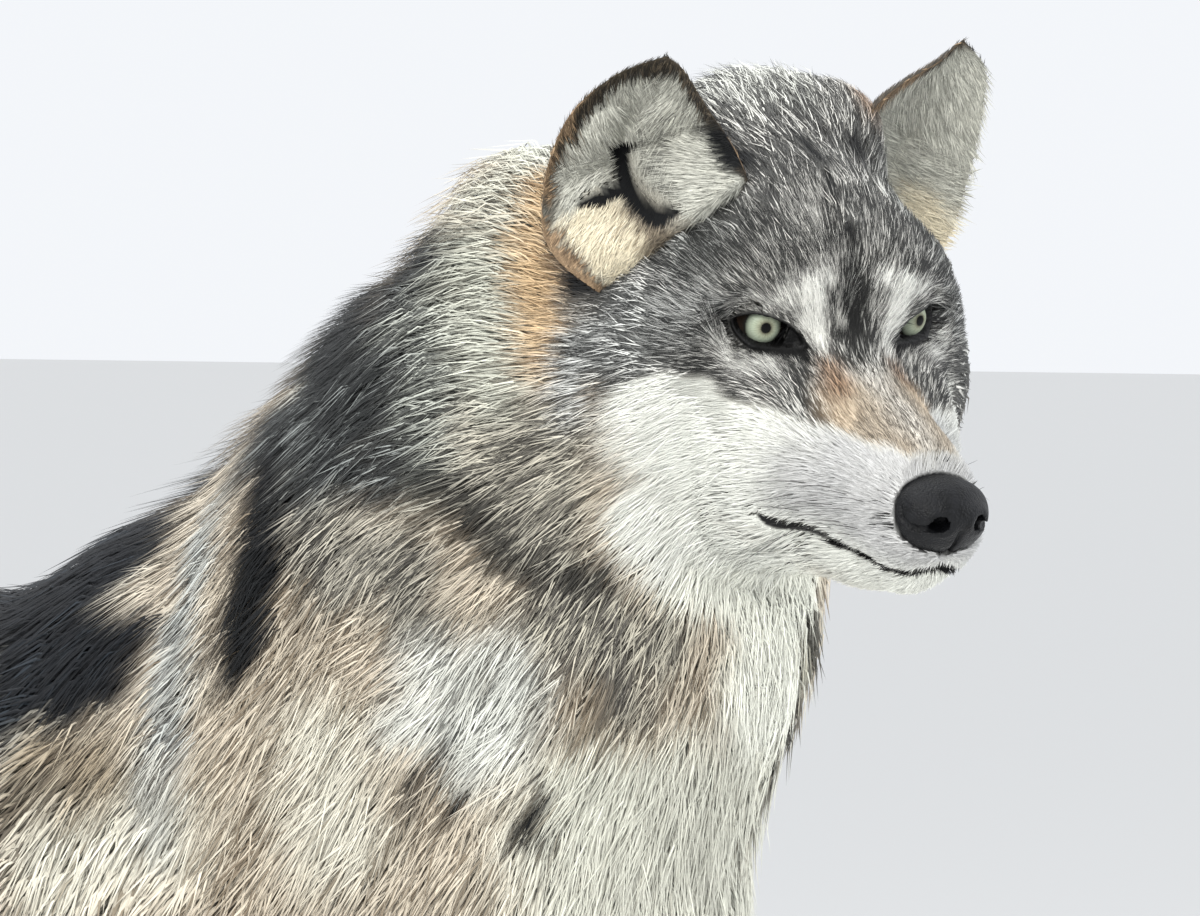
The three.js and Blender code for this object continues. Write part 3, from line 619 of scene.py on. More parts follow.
def outside_lids(along, up):
    """Signed distance from the lids' opening, in mm: negative inside it."""
    upper, lower = lid_edges(along)
    past = np.maximum(np.abs(along) - LID_HALF, 0)
    beyond = np.maximum(up - upper, lower - up)
    return np.maximum(beyond, 0) + past + np.where(past > 0, 0, np.minimum(beyond, 0))


def by_lids(a, b, w, along=34, up=24):
    """Which points of the lids' frame lie near them."""
    return (w > -18) & (np.abs(b) < up) & (np.abs(a) < along)


# ---- The nose ----

NOSTRIL = np.array([120.0, 9.2, -45.5])
NOSTRIL_TURN = 24  # degrees outwards
NOSTRIL_SLIT = [[120, 12, -47], [115, 17, -49], [110, 21, -47.5], [106, 22, -42]]


def nose_pad(h):
    """The nose pad in the head's frame: flat on top, winged at the sides, narrow below."""
    return blend(
        6,
        ball([106, 0, -41], [17, 20.5, 10.5]),
        mirrored(ball([108.5, 13, -47.5], [13, 10.5, 11])),
        ball([114, 0, -46], [12.5, 15.5, 11.5]),
        ball([110.5, 0, -55], [12, 19.5, 9.5]),
    )(h)


def nose_field(h):
    """The nose pad with its nostrils, the slits beside them and the groove below."""
    even = head_left(h)
    c, s = math.cos(math.radians(NOSTRIL_TURN)), math.sin(math.radians(NOSTRIL_TURN))
    q = even - NOSTRIL
    q = np.stack([q[:, 0] * c + q[:, 1] * s, q[:, 1] * c - q[:, 0] * s, q[:, 2]], 1)
    hole = ball([0, 0, 0], [6.5, 5.6, 4.6])(q)
    slit_line = settle(nose_pad, np.array(NOSTRIL_SLIT, float), 4)
    slit = chain(2, [[*p, r] for p, r in zip(slit_line, (2.2, 1.7, 1.4, 0.8))])(even)
    rim = np.exp(-(((hole - 2.2) / 1.6) ** 2)) * 0.6  # a low rim about each nostril
    groove = limb([126, 0, -49], [116, 0, -66], 0.9, 1.5)(h)
    dip = limb([126, 0, -30], [100, 0, -25.5], 1.6, 0.5)(h) + 1.0
    d = np.maximum(nose_pad(h) - rim, -softest(hole, slit, 2.5))
    d = -softest(-d, groove, 2.0)
    return -softest(-d, dip, 5.0)


# ---- The skin ----

MOUTH_MARKS = [  # from the middle of the lips back to the left corner
    [117, 0, -71], [106, 19, -77.5], [90, 31, -80],
    [62, 39, -80.5], [46, 43, -77.5], [36, 46, -74],
]
SKIN_CELL = 7.0
LID_THICK = 1.5
LOWEST = 0.4  # mm that the soles stay above the floor


def on_surface(field, line, steps):
    """A line drawn more finely and laid on a surface."""
    fine = curve_through(line, np.linspace(0, 1, steps))
    return settle(field, fine, 6)


def curve_through(points, t):
    """A smooth curve through points, at t from 0 to 1."""
    p = np.array(points, float)
    p = np.vstack([2 * p[0] - p[1], p, 2 * p[-1] - p[-2]])
    x = np.clip(t, 0, 1) * (len(p) - 3)
    i = np.minimum(x.astype(int), len(p) - 4)
    s = (x - i)[..., None]
    a, b, c, d = p[i], p[i + 1], p[i + 2], p[i + 3]
    return 0.5 * (2 * b + (c - a) * s + (2 * a - 5 * b + 4 * c - d) * s**2
                  + (3 * b - a - 3 * c + d) * s**3)


MOUTH_LINE = to_head(on_surface(skin_field, from_head(MOUTH_MARKS), 15))


def near_line(p, line):
    """Distance from a run of straight lines, and how far along it the nearest place is, 0 to 1."""
    lengths = np.linalg.norm(np.diff(line, axis=0), axis=1)
    starts = np.concatenate([[0], np.cumsum(lengths)])
    best, where = np.full(len(p), 1e9), np.zeros(len(p))
    for i, length in enumerate(lengths):
        way = line[i + 1] - line[i]
        t = np.clip((p - line[i]) @ way / length**2, 0, 1)
        off = np.linalg.norm(p - line[i] - t[:, None] * way, axis=1)
        closer = off < best
        best = np.where(closer, off, best)
        where = np.where(closer, (starts[i] + t * length) / starts[-1], where)
    return best, where


def finest(middle):
    """The longest edge that the skin may have at a place."""
    h = to_head(middle)
    size = np.full(len(h), 99.0)
    reach = np.linalg.norm((h - [-10, 0, -30]) / [1, 1, 1.1], axis=1)
    size = np.where(reach < 150, 5.2, size)
    size = np.where((h[:, 0] > -30) & (reach < 112), 3.4, size)
    size = np.where((h[:, 0] > 60) & (reach < 150), 2.6, size)
    for side in (1, -1):
        q = to_lids(h, side)
        away = np.linalg.norm(q / [1.35, 1, 1], axis=1)
        size = np.where(away < 20, 1.7, size)
        size = np.where(away < 14, 1.15, size)
    line, _ = near_line(head_left(h), MOUTH_LINE)
    return np.where(line < 6, 1.5, size)


def open_eyes(h):
    """Skin points near each eye, with the lids drawn over the eyeball and parted."""
    middle = to_lids(EYE[None], 1)[0]
    for side in (1, -1):
        q = to_lids(h, side)
        near = (np.abs(q[:, 0]) < 42) & (np.abs(q[:, 1]) < 30) & (q[:, 2] > -22)
        a, b, w = q[near].T
        off = outside_lids(a, b)
        ball_front = eyeball_height(a, b)
        # The outer half of the lids hugs the eyeball; past its rim the cover falls away evenly.
        r = np.hypot(a - middle[0], b - middle[1])
        firm = 0.86 * EYE_RADIUS
        cover = middle[2] + np.sqrt(EYE_RADIUS**2 - np.minimum(r, firm) ** 2)
        cover = cover - 0.8 * np.maximum(r - firm, 0) + LID_THICK
        outer = smooth(2, 11, a) * 0.72
        over = np.maximum(w, cover) * (1 - outer) + (cover * 0.8 + w * 0.2) * outer
        # The skin comes over the eyeball near the opening and keeps its own shape further out.
        hold = 1 - smooth(4, 14, off)
        lid = w + (over - w) * hold
        crease = np.exp(-(((off - 4.6) / 1.3) ** 2)) * (b > 0) * 0.9
        roll = np.exp(-(((off - 1.2) / 1.2) ** 2)) * 0.5
        lid = lid - crease * smooth(-16, -6, a) + roll
        corner = smooth(-4.5, -8.0, a)
        floor = (ball_front - 2.0) * (1 - corner) + (lid - 3.4) * corner
        floor = np.where(a < -8.0, lid - 3.4 + 1.2 * smooth(-12, -17, a), floor)
        floor = np.maximum(floor, lid - 11)
        inside = smooth(0.5, -0.9, off)
        w = lid * (1 - inside) + np.minimum(floor, lid) * inside
        q[near, 2] = w
        h = h.copy()
        h[near] = from_lids(q[near], side)
    return h


def part_lips(h):
    """The line of the mouth pressed in, with the upper lip hanging over it."""
    even = head_left(h)
    off, along = near_line(even, MOUTH_LINE)
    deep = np.interp(along, [0, 0.3, 0.5, 1], [4.2, 4.2, 2.2, 3.2]) * np.exp(-((off / 1.8) ** 2))
    deep *= smooth(1.04, 0.9, along)
    above = even[:, 2] - np.interp(even[:, 0], MOUTH_LINE[::-1, 0], MOUTH_LINE[::-1, 2])
    lip = 1.0 * np.exp(-(((off - 4.5) / 2.5) ** 2)) * smooth(-1, 1, above)
    chin = -0.8 * np.exp(-(((off - 4) / 2.5) ** 2)) * smooth(1, -1, above)
    middle = np.array([60.0, 0.0, -66.0])
    way = even - middle
    way[:, 0] *= 0.35
    way /= np.maximum(np.linalg.norm(way, axis=1), 1e-6)[:, None]
    way[:, 1] *= np.where(h[:, 1] < 0, -1, 1)
    front = h[:, 0] > 20
    return h + way * ((lip + chin - deep) * front)[:, None]


def behind_nose(h):
    """The skin stops behind the nose pad."""
    upper = smooth(-66, -56, h[:, 2])
    limit = 103.5 + 0.45 * (-44 - h[:, 2])
    past = np.maximum(h[:, 0] - limit, 0) * upper
    h = h.copy()
    taper = 1 - 0.16 * smooth(84, 104, h[:, 0]) * upper
    h[:, 0] -= past * 0.92
    h[:, 1] *= taper
    h[:, 2] = -46 + (h[:, 2] + 46) * taper
    return h


def skin_mesh():
    low, high = [-160, -520, -6], [164, 850, 1052]
    points, faces = net(skin_field, low, high, SKIN_CELL)
    points = settle(skin_field, points, 2)
    for _ in range(4):
        points, faces = refine(points, faces, lambda m, length: length > finest(m) * 1.25)
    points = settle(skin_field, points, 2)
    h = to_head(points)
    head = (h[:, 0] > -60) & (points[:, 2] > 700)
    h[head] = behind_nose(part_lips(open_eyes(h[head])))
    points[head] = from_head(h[head])
    points[:, 2] = np.maximum(points[:, 2], LOWEST)
    return points, faces


# ---- The ears ----

EARS = {
    "right": {
        "inner": [[-50, -26, 46], [-58, -38, 68], [-71, -49, 84], [-82, -56, 96], [-89, -61, 103]],
        "outer": [
            [-68, -64, -24], [-98, -99, -2], [-110, -104, 27],
            [-113, -97, 61], [-105, -82, 86], [-92, -64, 103],
        ],
        "opening": [0.7, -0.68, 0.2],
        "cup": 0.34,
        "foot": [0.75, -0.55, 0.37],  # the way that its foot swells out of the hair
        "swell": 94,
        "folds": 1.0,
    },
    "left": {
        "inner": [
            [-66, 28, 42], [-73, 43, 64], [-75, 54, 82],
            [-76, 69, 93], [-77, 86, 102], [-78, 98, 112],
        ],
        "outer": [
            [-58, 80, -12], [-68, 106, 14], [-71, 112, 39],
            [-73, 114, 66], [-77, 114, 94], [-79, 103, 112],
        ],
        "opening": [0.95, 0.15, 0.1],
        "cup": 0.36,
        "foot": [1, 0, 0],
        "swell": 0,
        "folds": 0.35,
    },
}
EAR_SKIN = 2.6  # mm thick, less towards the tip
EAR_TOP = 0.965  # where the leaf ends, short of the point that its edges run to

# Folds inside the right ear, on its leaf in mm: across from its inner edge, and up from its foot.
EAR_SPREAD, EAR_TALL = 55.0, 80.0
EAR_SLIT = [
    [[37, 36, 1.0], [34, 34.5, 1.8], [34, 24, 1.8]],
    [[27, 33.5, 0.9], [34, 34.5, 1.6]],
    [[34, 24, 1.7], [41, 21.5, 1.4], [45.5, 22.5, 0.5]],
    [[34, 24, 1.7], [32.5, 12, 1.9], [26.5, 10.5, 0.6]],
]
EAR_FOLDS = [  # a ridge's line and radius, how far it stands out and how soft its edge is
    ([[44, 24, 5], [44, 38, 5.5], [40, 46, 5]], 4.5, 5),
    ([[21, 24, 8], [20, 36, 8]], 6.0, 9),
    ([[48, 14, 5], [46, 10, 4]], 2.5, 6),
    ([[30, 50, 8], [38, 52, 5]], 2.0, 8),
]


def ear_middle(ear, u, v):
    """The ear's leaf in the head's frame, u from its inner edge to its outer one, v to its tip."""
    past = np.clip((v - 0.78) / 0.19, 0, 0.99)
    edge = 0.5 + (u - 0.5) * np.sqrt(1 - past**2.4)  # the tip is rounded off
    a, b = curve_through(ear["inner"], v), curve_through(ear["outer"], v)
    width = np.linalg.norm(a - b, axis=-1)
    deep = ear["cup"] * width * np.sin(np.pi * np.clip(edge, 0, 1)) ** 0.8
    foot = np.maximum(1 - v / 0.4, 0) ** 1.3 * np.sin(np.pi * (0.03 + 0.9 * u)) ** 0.8
    foot = foot * smooth(0.0, 0.11, v)
    leaf = a + (b - a) * edge[..., None] - unit(ear["opening"]) * deep[..., None]
    return leaf + unit(ear["foot"]) * (ear["swell"] * foot)[..., None]


def ear_ways(ear, u, v, h):
    """Which way the ear's leaf runs outwards and which way upwards, over a step either side."""
    du = ear_middle(ear, np.minimum(u + h, 1), v) - ear_middle(ear, np.maximum(u - h, 0), v)
    dv = ear_middle(ear, u, np.minimum(v + h, 1)) - ear_middle(ear, u, np.maximum(v - h, 0))
    return du, dv


def ear_normal(ear, u, v):
    """Out of the ear's opening."""
    n = np.cross(*ear_ways(ear, u, v, 0.01))
    n /= np.maximum(np.linalg.norm(n, axis=-1), 1e-9)[..., None]
    return n * np.sign(n @ unit(ear["opening"]).T)[..., None]


def on_leaf(u, v):
    """Places on an ear's leaf, in mm."""
    return np.stack([u * EAR_SPREAD, v * EAR_TALL, u * 0], 1)


def leaf_chain(softness, rows):
    return chain(softness, [[x, y, 0, r] for x, y, r in rows])


def ear_slit(u, v):
    """Distance in mm from the cleft between the folds inside an ear, which is painted black as
    shade.
    """
    at = on_leaf(u, v)
    return np.min([leaf_chain(0.5, rows)(at) for rows in EAR_SLIT], axis=0)


def ear_relief(u, v, deep):
    """How far the inside of an ear stands out of its leaf, in mm."""
    at = on_leaf(u, v)
    out = np.zeros(len(u))
    for rows, height, soft in EAR_FOLDS:
        d = leaf_chain(3, rows)(at)
        out = np.maximum(out, height * smooth(soft, -soft * 0.6, d))
    out -= 4.5 * smooth(1.6, -1.0, ear_slit(u, v))
    return out * smooth(0, 0.08, u) * smooth(1, 0.94, u) * deep


def ear_mesh(ear, across=64, rings=64):
    """The ear as a closed leaf: points in the wolf's frame, faces, and each point's u and v."""
    i, j = np.meshgrid(np.arange(across + 1), np.arange(rings + 1))
    u, v = (i / across).ravel(), (j / rings).ravel()
    u = 0.5 - 0.5 * np.cos(np.pi * (u * 0.7 + 0.3 * (0.5 - 0.5 * np.cos(np.pi * u))))
    v = v * EAR_TOP
    middle, normal = ear_middle(ear, u, v), ear_normal(ear, u, v)
    rim = np.sqrt(np.maximum(1 - (2 * u - 1) ** 2, 0.04))
    half = EAR_SKIN * 0.5 * (1 - 0.45 * v) * rim
    relief = ear_relief(u, v, ear["folds"])
    front = middle + normal * (half + relief)[:, None]
    back = middle - normal * (half - np.minimum(relief, 0))[:, None]
    count = (across + 1) * (rings + 1)
    cell = (np.arange(rings)[:, None] * (across + 1) + np.arange(across)[None]).ravel()
    quads = np.stack([cell, cell + 1, cell + across + 2, cell + across + 1], 1)
    side = lambda line: np.stack([line[:-1], line[1:], line[1:] + count, line[:-1] + count], 1)
    ring = np.arange(rings + 1) * (across + 1)
    row = np.arange(across + 1)
    parts = [quads, quads[:, ::-1] + count, side(row)[:, ::-1], side(row + rings * (across + 1)),
             side(ring), side(ring + across)[:, ::-1]]
    quads = np.vstack(parts)
    points = from_head(np.vstack([front, back]))
    faces = np.vstack([quads[:, [0, 1, 2]], quads[:, [0, 2, 3]]])
    a, b, c = (points[faces[:, k]] for k in range(3))
    if np.einsum("ij,ij->i", a, np.cross(b, c)).sum() < 0:
        faces = faces[:, ::-1]
    return points, faces, np.tile(u, 2), np.tile(v, 2)


# ---- Blender pieces ----


ATTRIBUTES = {1: ("FLOAT", "value"), 3: ("FLOAT_VECTOR", "vector"), 4: ("FLOAT_COLOR", "color")}


def piece(name, points, faces, slot, material, replaces=(), **attributes):
    """A mesh piece in the row frame, riding on the body, with named attributes on its points."""
    mesh = bpy.data.meshes.new(name)
    mesh.vertices.add(len(points))
    mesh.vertices.foreach_set("co", place(points).astype(np.float32).ravel())
    sides = faces.shape[1]
    mesh.loops.add(faces.size)
    mesh.loops.foreach_set("vertex_index", faces.astype(np.int32).ravel())
    mesh.polygons.add(len(faces))
    mesh.polygons.foreach_set("loop_start", (np.arange(len(faces)) * sides).astype(np.int32))
    mesh.polygons.foreach_set("use_smooth", np.full(len(faces), True))
    mesh.update(calc_edges=True)
    for key, values in attributes.items():
        values = np.asarray(values, np.float32)
        kind, field = ATTRIBUTES[1 if values.ndim == 1 else values.shape[1]]
        layer = mesh.attributes.new(key, kind, "POINT")
        layer.data.foreach_set(field, values.ravel())
    mesh.materials.append(material)
    made = bpy.data.objects.new(name, mesh)
    bpy.context.scene.collection.objects.link(made)
    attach(made, "root")
    if replaces:
        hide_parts(*replaces)
    return made


# ---- The markings ----


def noise(p, size, seed=0):
    """Smooth noise from -1 to 1, with features about size mm across."""
    q = np.asarray(p, float) / size + 31.7 * seed + 500
    cell = np.floor(q).astype(np.int64)
    f = q - cell
    f = f * f * (3 - 2 * f)
    total = np.zeros(len(q))
    for corner in range(8):
        step = np.array([corner & 1, corner >> 1 & 1, corner >> 2 & 1])
        c = cell + step
        n = c[:, 0] * 374761393 + c[:, 1] * 668265263 + c[:, 2] * 1440662683 + SEED * 974634757
        n &= 0xFFFFFFFF
        n = ((n ^ (n >> 13)) * 1274126177) & 0xFFFFFFFF
        n ^= n >> 16
        total += np.prod(np.where(step, f, 1 - f), axis=1) * (n & 0xFFFFF)
    return total / 0xFFFFF * 2 - 1


def wobbled(p, big, small):
    """Points moved about, so that the edges of the markings are ragged."""
    coarse = np.stack([noise(p, 22, s) for s in (1, 2, 3)], 1)
    fine = np.stack([noise(p, 7, s) for s in (4, 5, 6)], 1)
    return p + coarse * big + fine * small


def spot(p, stations, soft):
    """1 within a chain of stations, each a point and a radius, down to 0 soft mm outside it."""
    stations = np.array(stations, float)
    if len(stations) == 1:
        d = np.linalg.norm(p - stations[0, :3], axis=1) - stations[0, 3]
    else:
        d = np.full(len(p), 1e9)
        for a, b in zip(stations[:-1], stations[1:]):
            d = np.minimum(d, limb(a[:3], b[:3], a[3], b[3])(p))
    return smooth(soft, -soft, d)


class Coat:
    """The coat's pale colour, its dark colour and the share of dark hair, at each point."""

    def __init__(self, count):
        self.pale, self.dark = np.zeros((count, 3)), np.zeros((count, 3))
        self.share = np.zeros(count)

    def over(self, alpha, colours):
        pale, dark, share = colours
        a = alpha[:, None]
        self.pale += (np.array(pale) - self.pale) * a
        self.dark += (np.array(dark) - self.dark) * a
        self.share += (share - self.share) * alpha


# Linear colours of the pale hair and the dark, and how much of the hair is dark.
HAIR = {
    "face grey": ((0.70, 0.69, 0.64), (0.012, 0.013, 0.013), 0.68),
    "dark face": ((0.66, 0.67, 0.64), (0.014, 0.015, 0.015), 0.58),
    "temple": ((0.50, 0.51, 0.48), (0.016, 0.017, 0.016), 0.72),
    "crown": ((0.70, 0.71, 0.65), (0.03, 0.03, 0.03), 0.48),
    "white": ((0.83, 0.84, 0.77), (0.64, 0.63, 0.56), 0.06),
    # painted shade: a greyer copy of the white, for the top of the muzzle where the key light falls
    # on it
    "muzzle white painted shade": ((0.56, 0.56, 0.55), (0.39, 0.39, 0.37), 0.10),
    "muzzle tan": ((0.46, 0.39, 0.30), (0.12, 0.10, 0.075), 0.28),
    "light tan": ((0.62, 0.50, 0.36), (0.30, 0.22, 0.14), 0.20),
    "rust": ((0.38, 0.235, 0.14), (0.06, 0.038, 0.026), 0.46),
    "brow": ((0.92, 0.92, 0.86), (0.12, 0.115, 0.11), 0.17),
    "wedge": ((0.40, 0.40, 0.37), (0.006, 0.006, 0.006), 0.80),
    "black": ((0.014, 0.014, 0.015), (0.004, 0.005, 0.006), 0.90),
    "under eye": ((0.78, 0.77, 0.72), (0.035, 0.035, 0.03), 0.35),
    "ruff": ((0.54, 0.51, 0.42), (0.05, 0.046, 0.04), 0.50),
    "orange": ((0.66, 0.48, 0.28), (0.26, 0.16, 0.08), 0.22),
    "ear cream": ((0.60, 0.61, 0.52), (0.13, 0.125, 0.10), 0.30),
    "crest": ((0.28, 0.30, 0.29), (0.009, 0.010, 0.011), 0.82),
    "mane dark": ((0.20, 0.21, 0.21), (0.009, 0.010, 0.011), 0.82),
    "neck": ((0.50, 0.52, 0.46), (0.03, 0.032, 0.03), 0.54),
    "neck dark": ((0.20, 0.19, 0.16), (0.009, 0.009, 0.008), 0.80),
    "throat grey": ((0.52, 0.49, 0.40), (0.06, 0.055, 0.05), 0.46),
    # painted light: the throat's white is coloured brighter than the face's white, to lift the
    # shade it lies in
    "throat": ((0.92, 0.93, 0.82), (0.66, 0.63, 0.50), 0.05),
    "chest white": ((0.68, 0.69, 0.63), (0.12, 0.12, 0.11), 0.20),
    "cream": ((0.72, 0.72, 0.62), (0.34, 0.31, 0.24), 0.12),
    "buff": ((0.60, 0.53, 0.42), (0.18, 0.14, 0.095), 0.28),
    "orange buff": ((0.40, 0.33, 0.23), (0.11, 0.085, 0.055), 0.40),
    "agouti": ((0.50, 0.47, 0.39), (0.035, 0.033, 0.030), 0.56),
    "saddle": ((0.018, 0.024, 0.031), (0.003, 0.004, 0.006), 0.84),
    "back grey": ((0.40, 0.39, 0.34), (0.03, 0.03, 0.03), 0.60),
    "white band": ((0.52, 0.54, 0.51), (0.07, 0.072, 0.07), 0.42),
    "ear tan": ((0.40, 0.28, 0.17), (0.10, 0.065, 0.04), 0.40),
    "ear dark": ((0.12, 0.095, 0.065), (0.016, 0.014, 0.011), 0.62),
    "ear within": ((0.66, 0.66, 0.58), (0.30, 0.30, 0.26), 0.25),
    "ear grey": ((0.58, 0.58, 0.50), (0.10, 0.10, 0.09), 0.45),
    "ear lobe": ((0.84, 0.76, 0.57), (0.44, 0.36, 0.24), 0.14),
    "ear brown": ((0.30, 0.25, 0.18), (0.08, 0.065, 0.05), 0.45),
    "bare": ((0.006, 0.006, 0.006), (0.003, 0.003, 0.003), 0.9),
}


def paint(coat, at, spots):
    """Lays spots on a coat: each has its hair, stations, softness and at times a share."""
    for name, stations, soft, *share in spots:
        alpha = spot(at, stations, soft)
        coat.over(alpha * share[0] if share else alpha, HAIR[name])


# Spots on the body, in its own frame: all but the tail's and the throat's fall on both sides.
TRUNK_SPOTS = [
    ("cream", [[138, -27, 655, 34], [139, -89, 670, 26]], 24, 0.6),
    ("orange buff", [[119, 7, 706, 16], [134, -48, 700, 14], [128, 90, 680, 20]], 18),
    ("saddle", [[0, 200, 776, 34], [0, 480, 786, 30], [0, 640, 742, 32]], 16),
    ("saddle", [
        [0, -40, 830, 44], [10, 40, 806, 60], [60, 150, 760, 46], [40, 190, 776, 30],
    ], 10),
    ("saddle", [
        [64, -18, 810, 26], [82, 36, 762, 34], [104, -14, 752, 26], [112, -52, 768, 12],
    ], 7),
    ("saddle", [[114, -8, 738, 18], [124, -48, 744, 10], [104, 70, 730, 22]], 7),
]
LEG_SPOTS = [
    ("back grey", [[92, -82, 430, 6], [84, -84, 260, 5]], 5, 0.6),
    ("orange buff", [[100, 560, 560, 40], [96, 600, 400, 22]], 26),
]
TAIL_SPOTS = [
    ("mane dark", [[0, 726, 648, 22], [3, 800, 540, 24]], 18),
]
NECK_SPOTS = [
    ("mane dark", [[0, -40, 850, 40], [0, -140, 900, 44], [0, -200, 985, 34]], 18),
    ("crest", [[66, -150, 896, 46], [96, -160, 872, 26], [70, -110, 856, 30]], 16),
    ("mane dark", [[70, -196, 944, 26], [94, -190, 906, 18], [104, -176, 880, 12]], 9),
    ("mane dark", [[50, -150, 926, 26], [84, -140, 890, 20], [100, -140, 864, 12]], 9, 0.8),
    ("agouti", [
        [112, -150, 843, 18], [124, -178, 806, 26], [119, -214, 806, 20], [116, -224, 778, 18],
    ], 14),
    ("neck", [[88, -215, 920, 32], [108, -222, 886, 32], [115, -236, 856, 26]], 15),
    ("crest", [[118, -205, 852, 16], [114, -190, 868, 12]], 12),
    ("cream", [[125, -172, 716, 26], [123, -178, 674, 28]], 20, 0.6),
    ("crest", [
        [94, -143, 868, 28], [101, -178, 882, 29], [112, -150, 852, 20], [115, -186, 846, 14],
    ], 12),
    ("white band", [
        [84, -80, 831, 10], [102, -79, 803, 14], [121, -87, 765, 16], [133, -86, 724, 16],
    ], 9),
    ("white band", [[137, -81, 698, 14], [139, -84, 670, 12]], 14, 0.7),
    ("black", [
        [96, -116, 856, 11], [112, -128, 825, 15], [123, -130, 796, 18], [127, -126, 774, 16],
    ], 3.5),
    ("black", [[127, -126, 774, 16], [128, -118, 748, 7]], 4),
    ("ear cream", [[8, -230, 994, 32], [44, -240, 968, 24]], 12),
]
BREAST_SPOTS = [
    ("chest white", [
        [115, -231, 752, 18], [106, -274, 748, 20], [107, -255, 722, 24], [118, -217, 728, 14],
    ], 14),
    ("neck dark", [
        [115, -249, 840, 14], [112, -272, 818, 20], [103, -299, 800, 18], [90, -318, 790, 12],
    ], 9),
    ("throat grey", [
        [94, -312, 778, 15], [72, -334, 768, 18], [104, -294, 776, 18], [76, -323, 742, 14],
    ], 10),
    ("black", [[113, -238, 716, 4], [119, -222, 690, 5]], 3.5),
    ("black", [[110, -252, 708, 3.5], [114, -238, 684, 5]], 3.5),
    ("black", [[97, -273, 700, 4], [95, -277, 676, 7]], 4),
    # painted light: the brighter white on the front of the throat
    ("throat", [[0, -360, 780, 40], [0, -354, 740, 36]], 12),
]
THROAT_SPOTS = [
    ("neck dark", [[30, -350, 768, 13], [40, -335, 720, 12], [38, -315, 670, 10]], 8, 0.9),
]


def paint_body(coat, p):
    """The neck, trunk, legs and tail, in the wolf's own frame."""
    q = wobbled(p, 8, 4)
    e = body_left(q)
    x, y, z = e.T
    over = lambda alpha, name: coat.over(alpha, HAIR[name])
    over(np.ones(len(p)), "buff")
    # The trunk: grizzled grey above, buff on the flank, cream beneath, darker along the spine.
    over(smooth(620, 680, z) * smooth(-80, 20, y), "agouti")
    over(smooth(700, 745, z + 10 * noise(p, 40, 8)) * smooth(-60, 40, y), "back grey")
    over(smooth(560, 500, z) * smooth(-330, -260, y), "cream")
    paint(coat, e, TRUNK_SPOTS)
    # The legs: buff outside, cream inside and below, with a dark line down the fore ones.
    legs = smooth(470, 430, z) * smooth(650, 630, y)
    over(legs * smooth(70, 88, x), "buff")
    over(legs * smooth(92, 70, x), "cream")
    over(smooth(230, 180, z) * smooth(650, 630, y), "cream")
    paint(coat, e, LEG_SPOTS)
    # The tail.
    tail = smooth(640, 690, y) * smooth(250, 300, z)
    over(tail, "agouti")
    over(tail * smooth(742, 790, y - 0.12 * (z - 400)), "back grey")
    paint(coat, q, TAIL_SPOTS)
    over(smooth(330, 270, z) * smooth(660, 690, y), "black")
    # The neck, from the mane back to the shoulder.
    paint(coat, e, NECK_SPOTS)
    # The throat and the breast.
    over(smooth(-240, -290, y) * smooth(740, 700, z), "cream")
    paint(coat, e, BREAST_SPOTS)
    paint(coat, q, THROAT_SPOTS)


# Spots on the head, in its own frame: all but the ear foot's fall on both sides.
RUFF_SPOTS = [
    ("crown", [[-112, 8, 86, 34], [-88, 10, 82, 12]], 10),
    # The ruff and the fringe behind the ears.
    ("ruff", [[-48, 118, -76, 24], [-30, 122, -108, 22], [-70, 132, -80, 26]], 12),
    ("ear cream", [
        [-158, 92, -10, 26], [-140, 108, -34, 22], [-108, 122, -50, 20], [-78, 129, -66, 12],
    ], 12),
    ("orange", [
        [-140, 76, 10, 16], [-126, 92, -12, 13], [-100, 104, -28, 11], [-70, 112, -44, 9],
    ], 8),
    ("orange", [[-70, 112, -44, 8], [-42, 108, -48, 5]], 6, 0.6),
    ("black", [[-76, 80, -1, 12], [-92, 88, -10, 11]], 5),
    ("temple", [[-50, 60, 34, 26], [-30, 66, 26, 18]], 12),
    ("dark face", [
        [-12, 72, 6, 13], [-34, 92, -12, 24], [-60, 104, -36, 16], [-44, 113, -58, 8],
    ], 10),
]
NOSE_SPOTS = [
    ("light tan", [[36, 22, -20, 8], [48, 22, -24, 7]], 9),
    ("rust", [[24, 18, -11, 6], [31, 19, -15, 7]], 8),
    ("under eye", [[24, 0, -8, 8], [56, 0, -10, 6], [96, 0, -26, 7]], 8, 0.6),
]
EYE_SPOTS = [
    ("white", [[2, 86, -98, 20], [14, 66, -110, 22], [24, 36, -112, 26]], 6),
    # painted light: the brighter white under the jaw
    ("throat", [[12, 62, -128, 12], [18, 36, -132, 16]], 8),
    ("brow", [[0, 62, -8, 5], [7, 56, -13, 6], [14, 42, -13, 5]], 5, 0.85),
    ("face grey", [[4, 58, -25, 4], [14, 44, -22, 4]], 4, 0.8),
    # Around the eyes and between them.
    ("brow", [[8, 17, 30, 6], [9, 27, 24, 9], [14, 24, 10, 9], [18, 20, 0, 6]], 4.5),
    ("brow", [[9, 34, 22, 7], [6, 45, 20, 5], [-4, 56, 12, 3]], 5, 0.75),
    ("wedge", [[24, 0, -8, 3.5], [19, 0, 6, 6], [9, 0, 26, 7.5], [-8, 0, 44, 4]], 3.5),
    ("black", [[-8, 0, 46, 2.4], [-60, 0, 74, 2.8]], 2.5),
    ("brow", [[-41, 39, 54, 4]], 4, 0.7),
    ("black", [[-60, 32, 64, 7]], 4, 0.9),
]
EAR_FOOT_SPOTS = [
    ("rust", [[-84, 54, 84, 12], [-80, 48, 70, 9]], 8, 0.8),
]


# The white's upper edge, x and z, and its back edge, z and x.
WHITE_TOP = [-40, -13, -1, 8, 20, 31, 55, 77, 100], [-50, -26, -21, -27, -29, -29, -27, -25, -24]
WHITE_BACK = [-150, -114, -100, -81, -65, -46, -26], [-8, -15, -11, -17, -27, -30, -16]


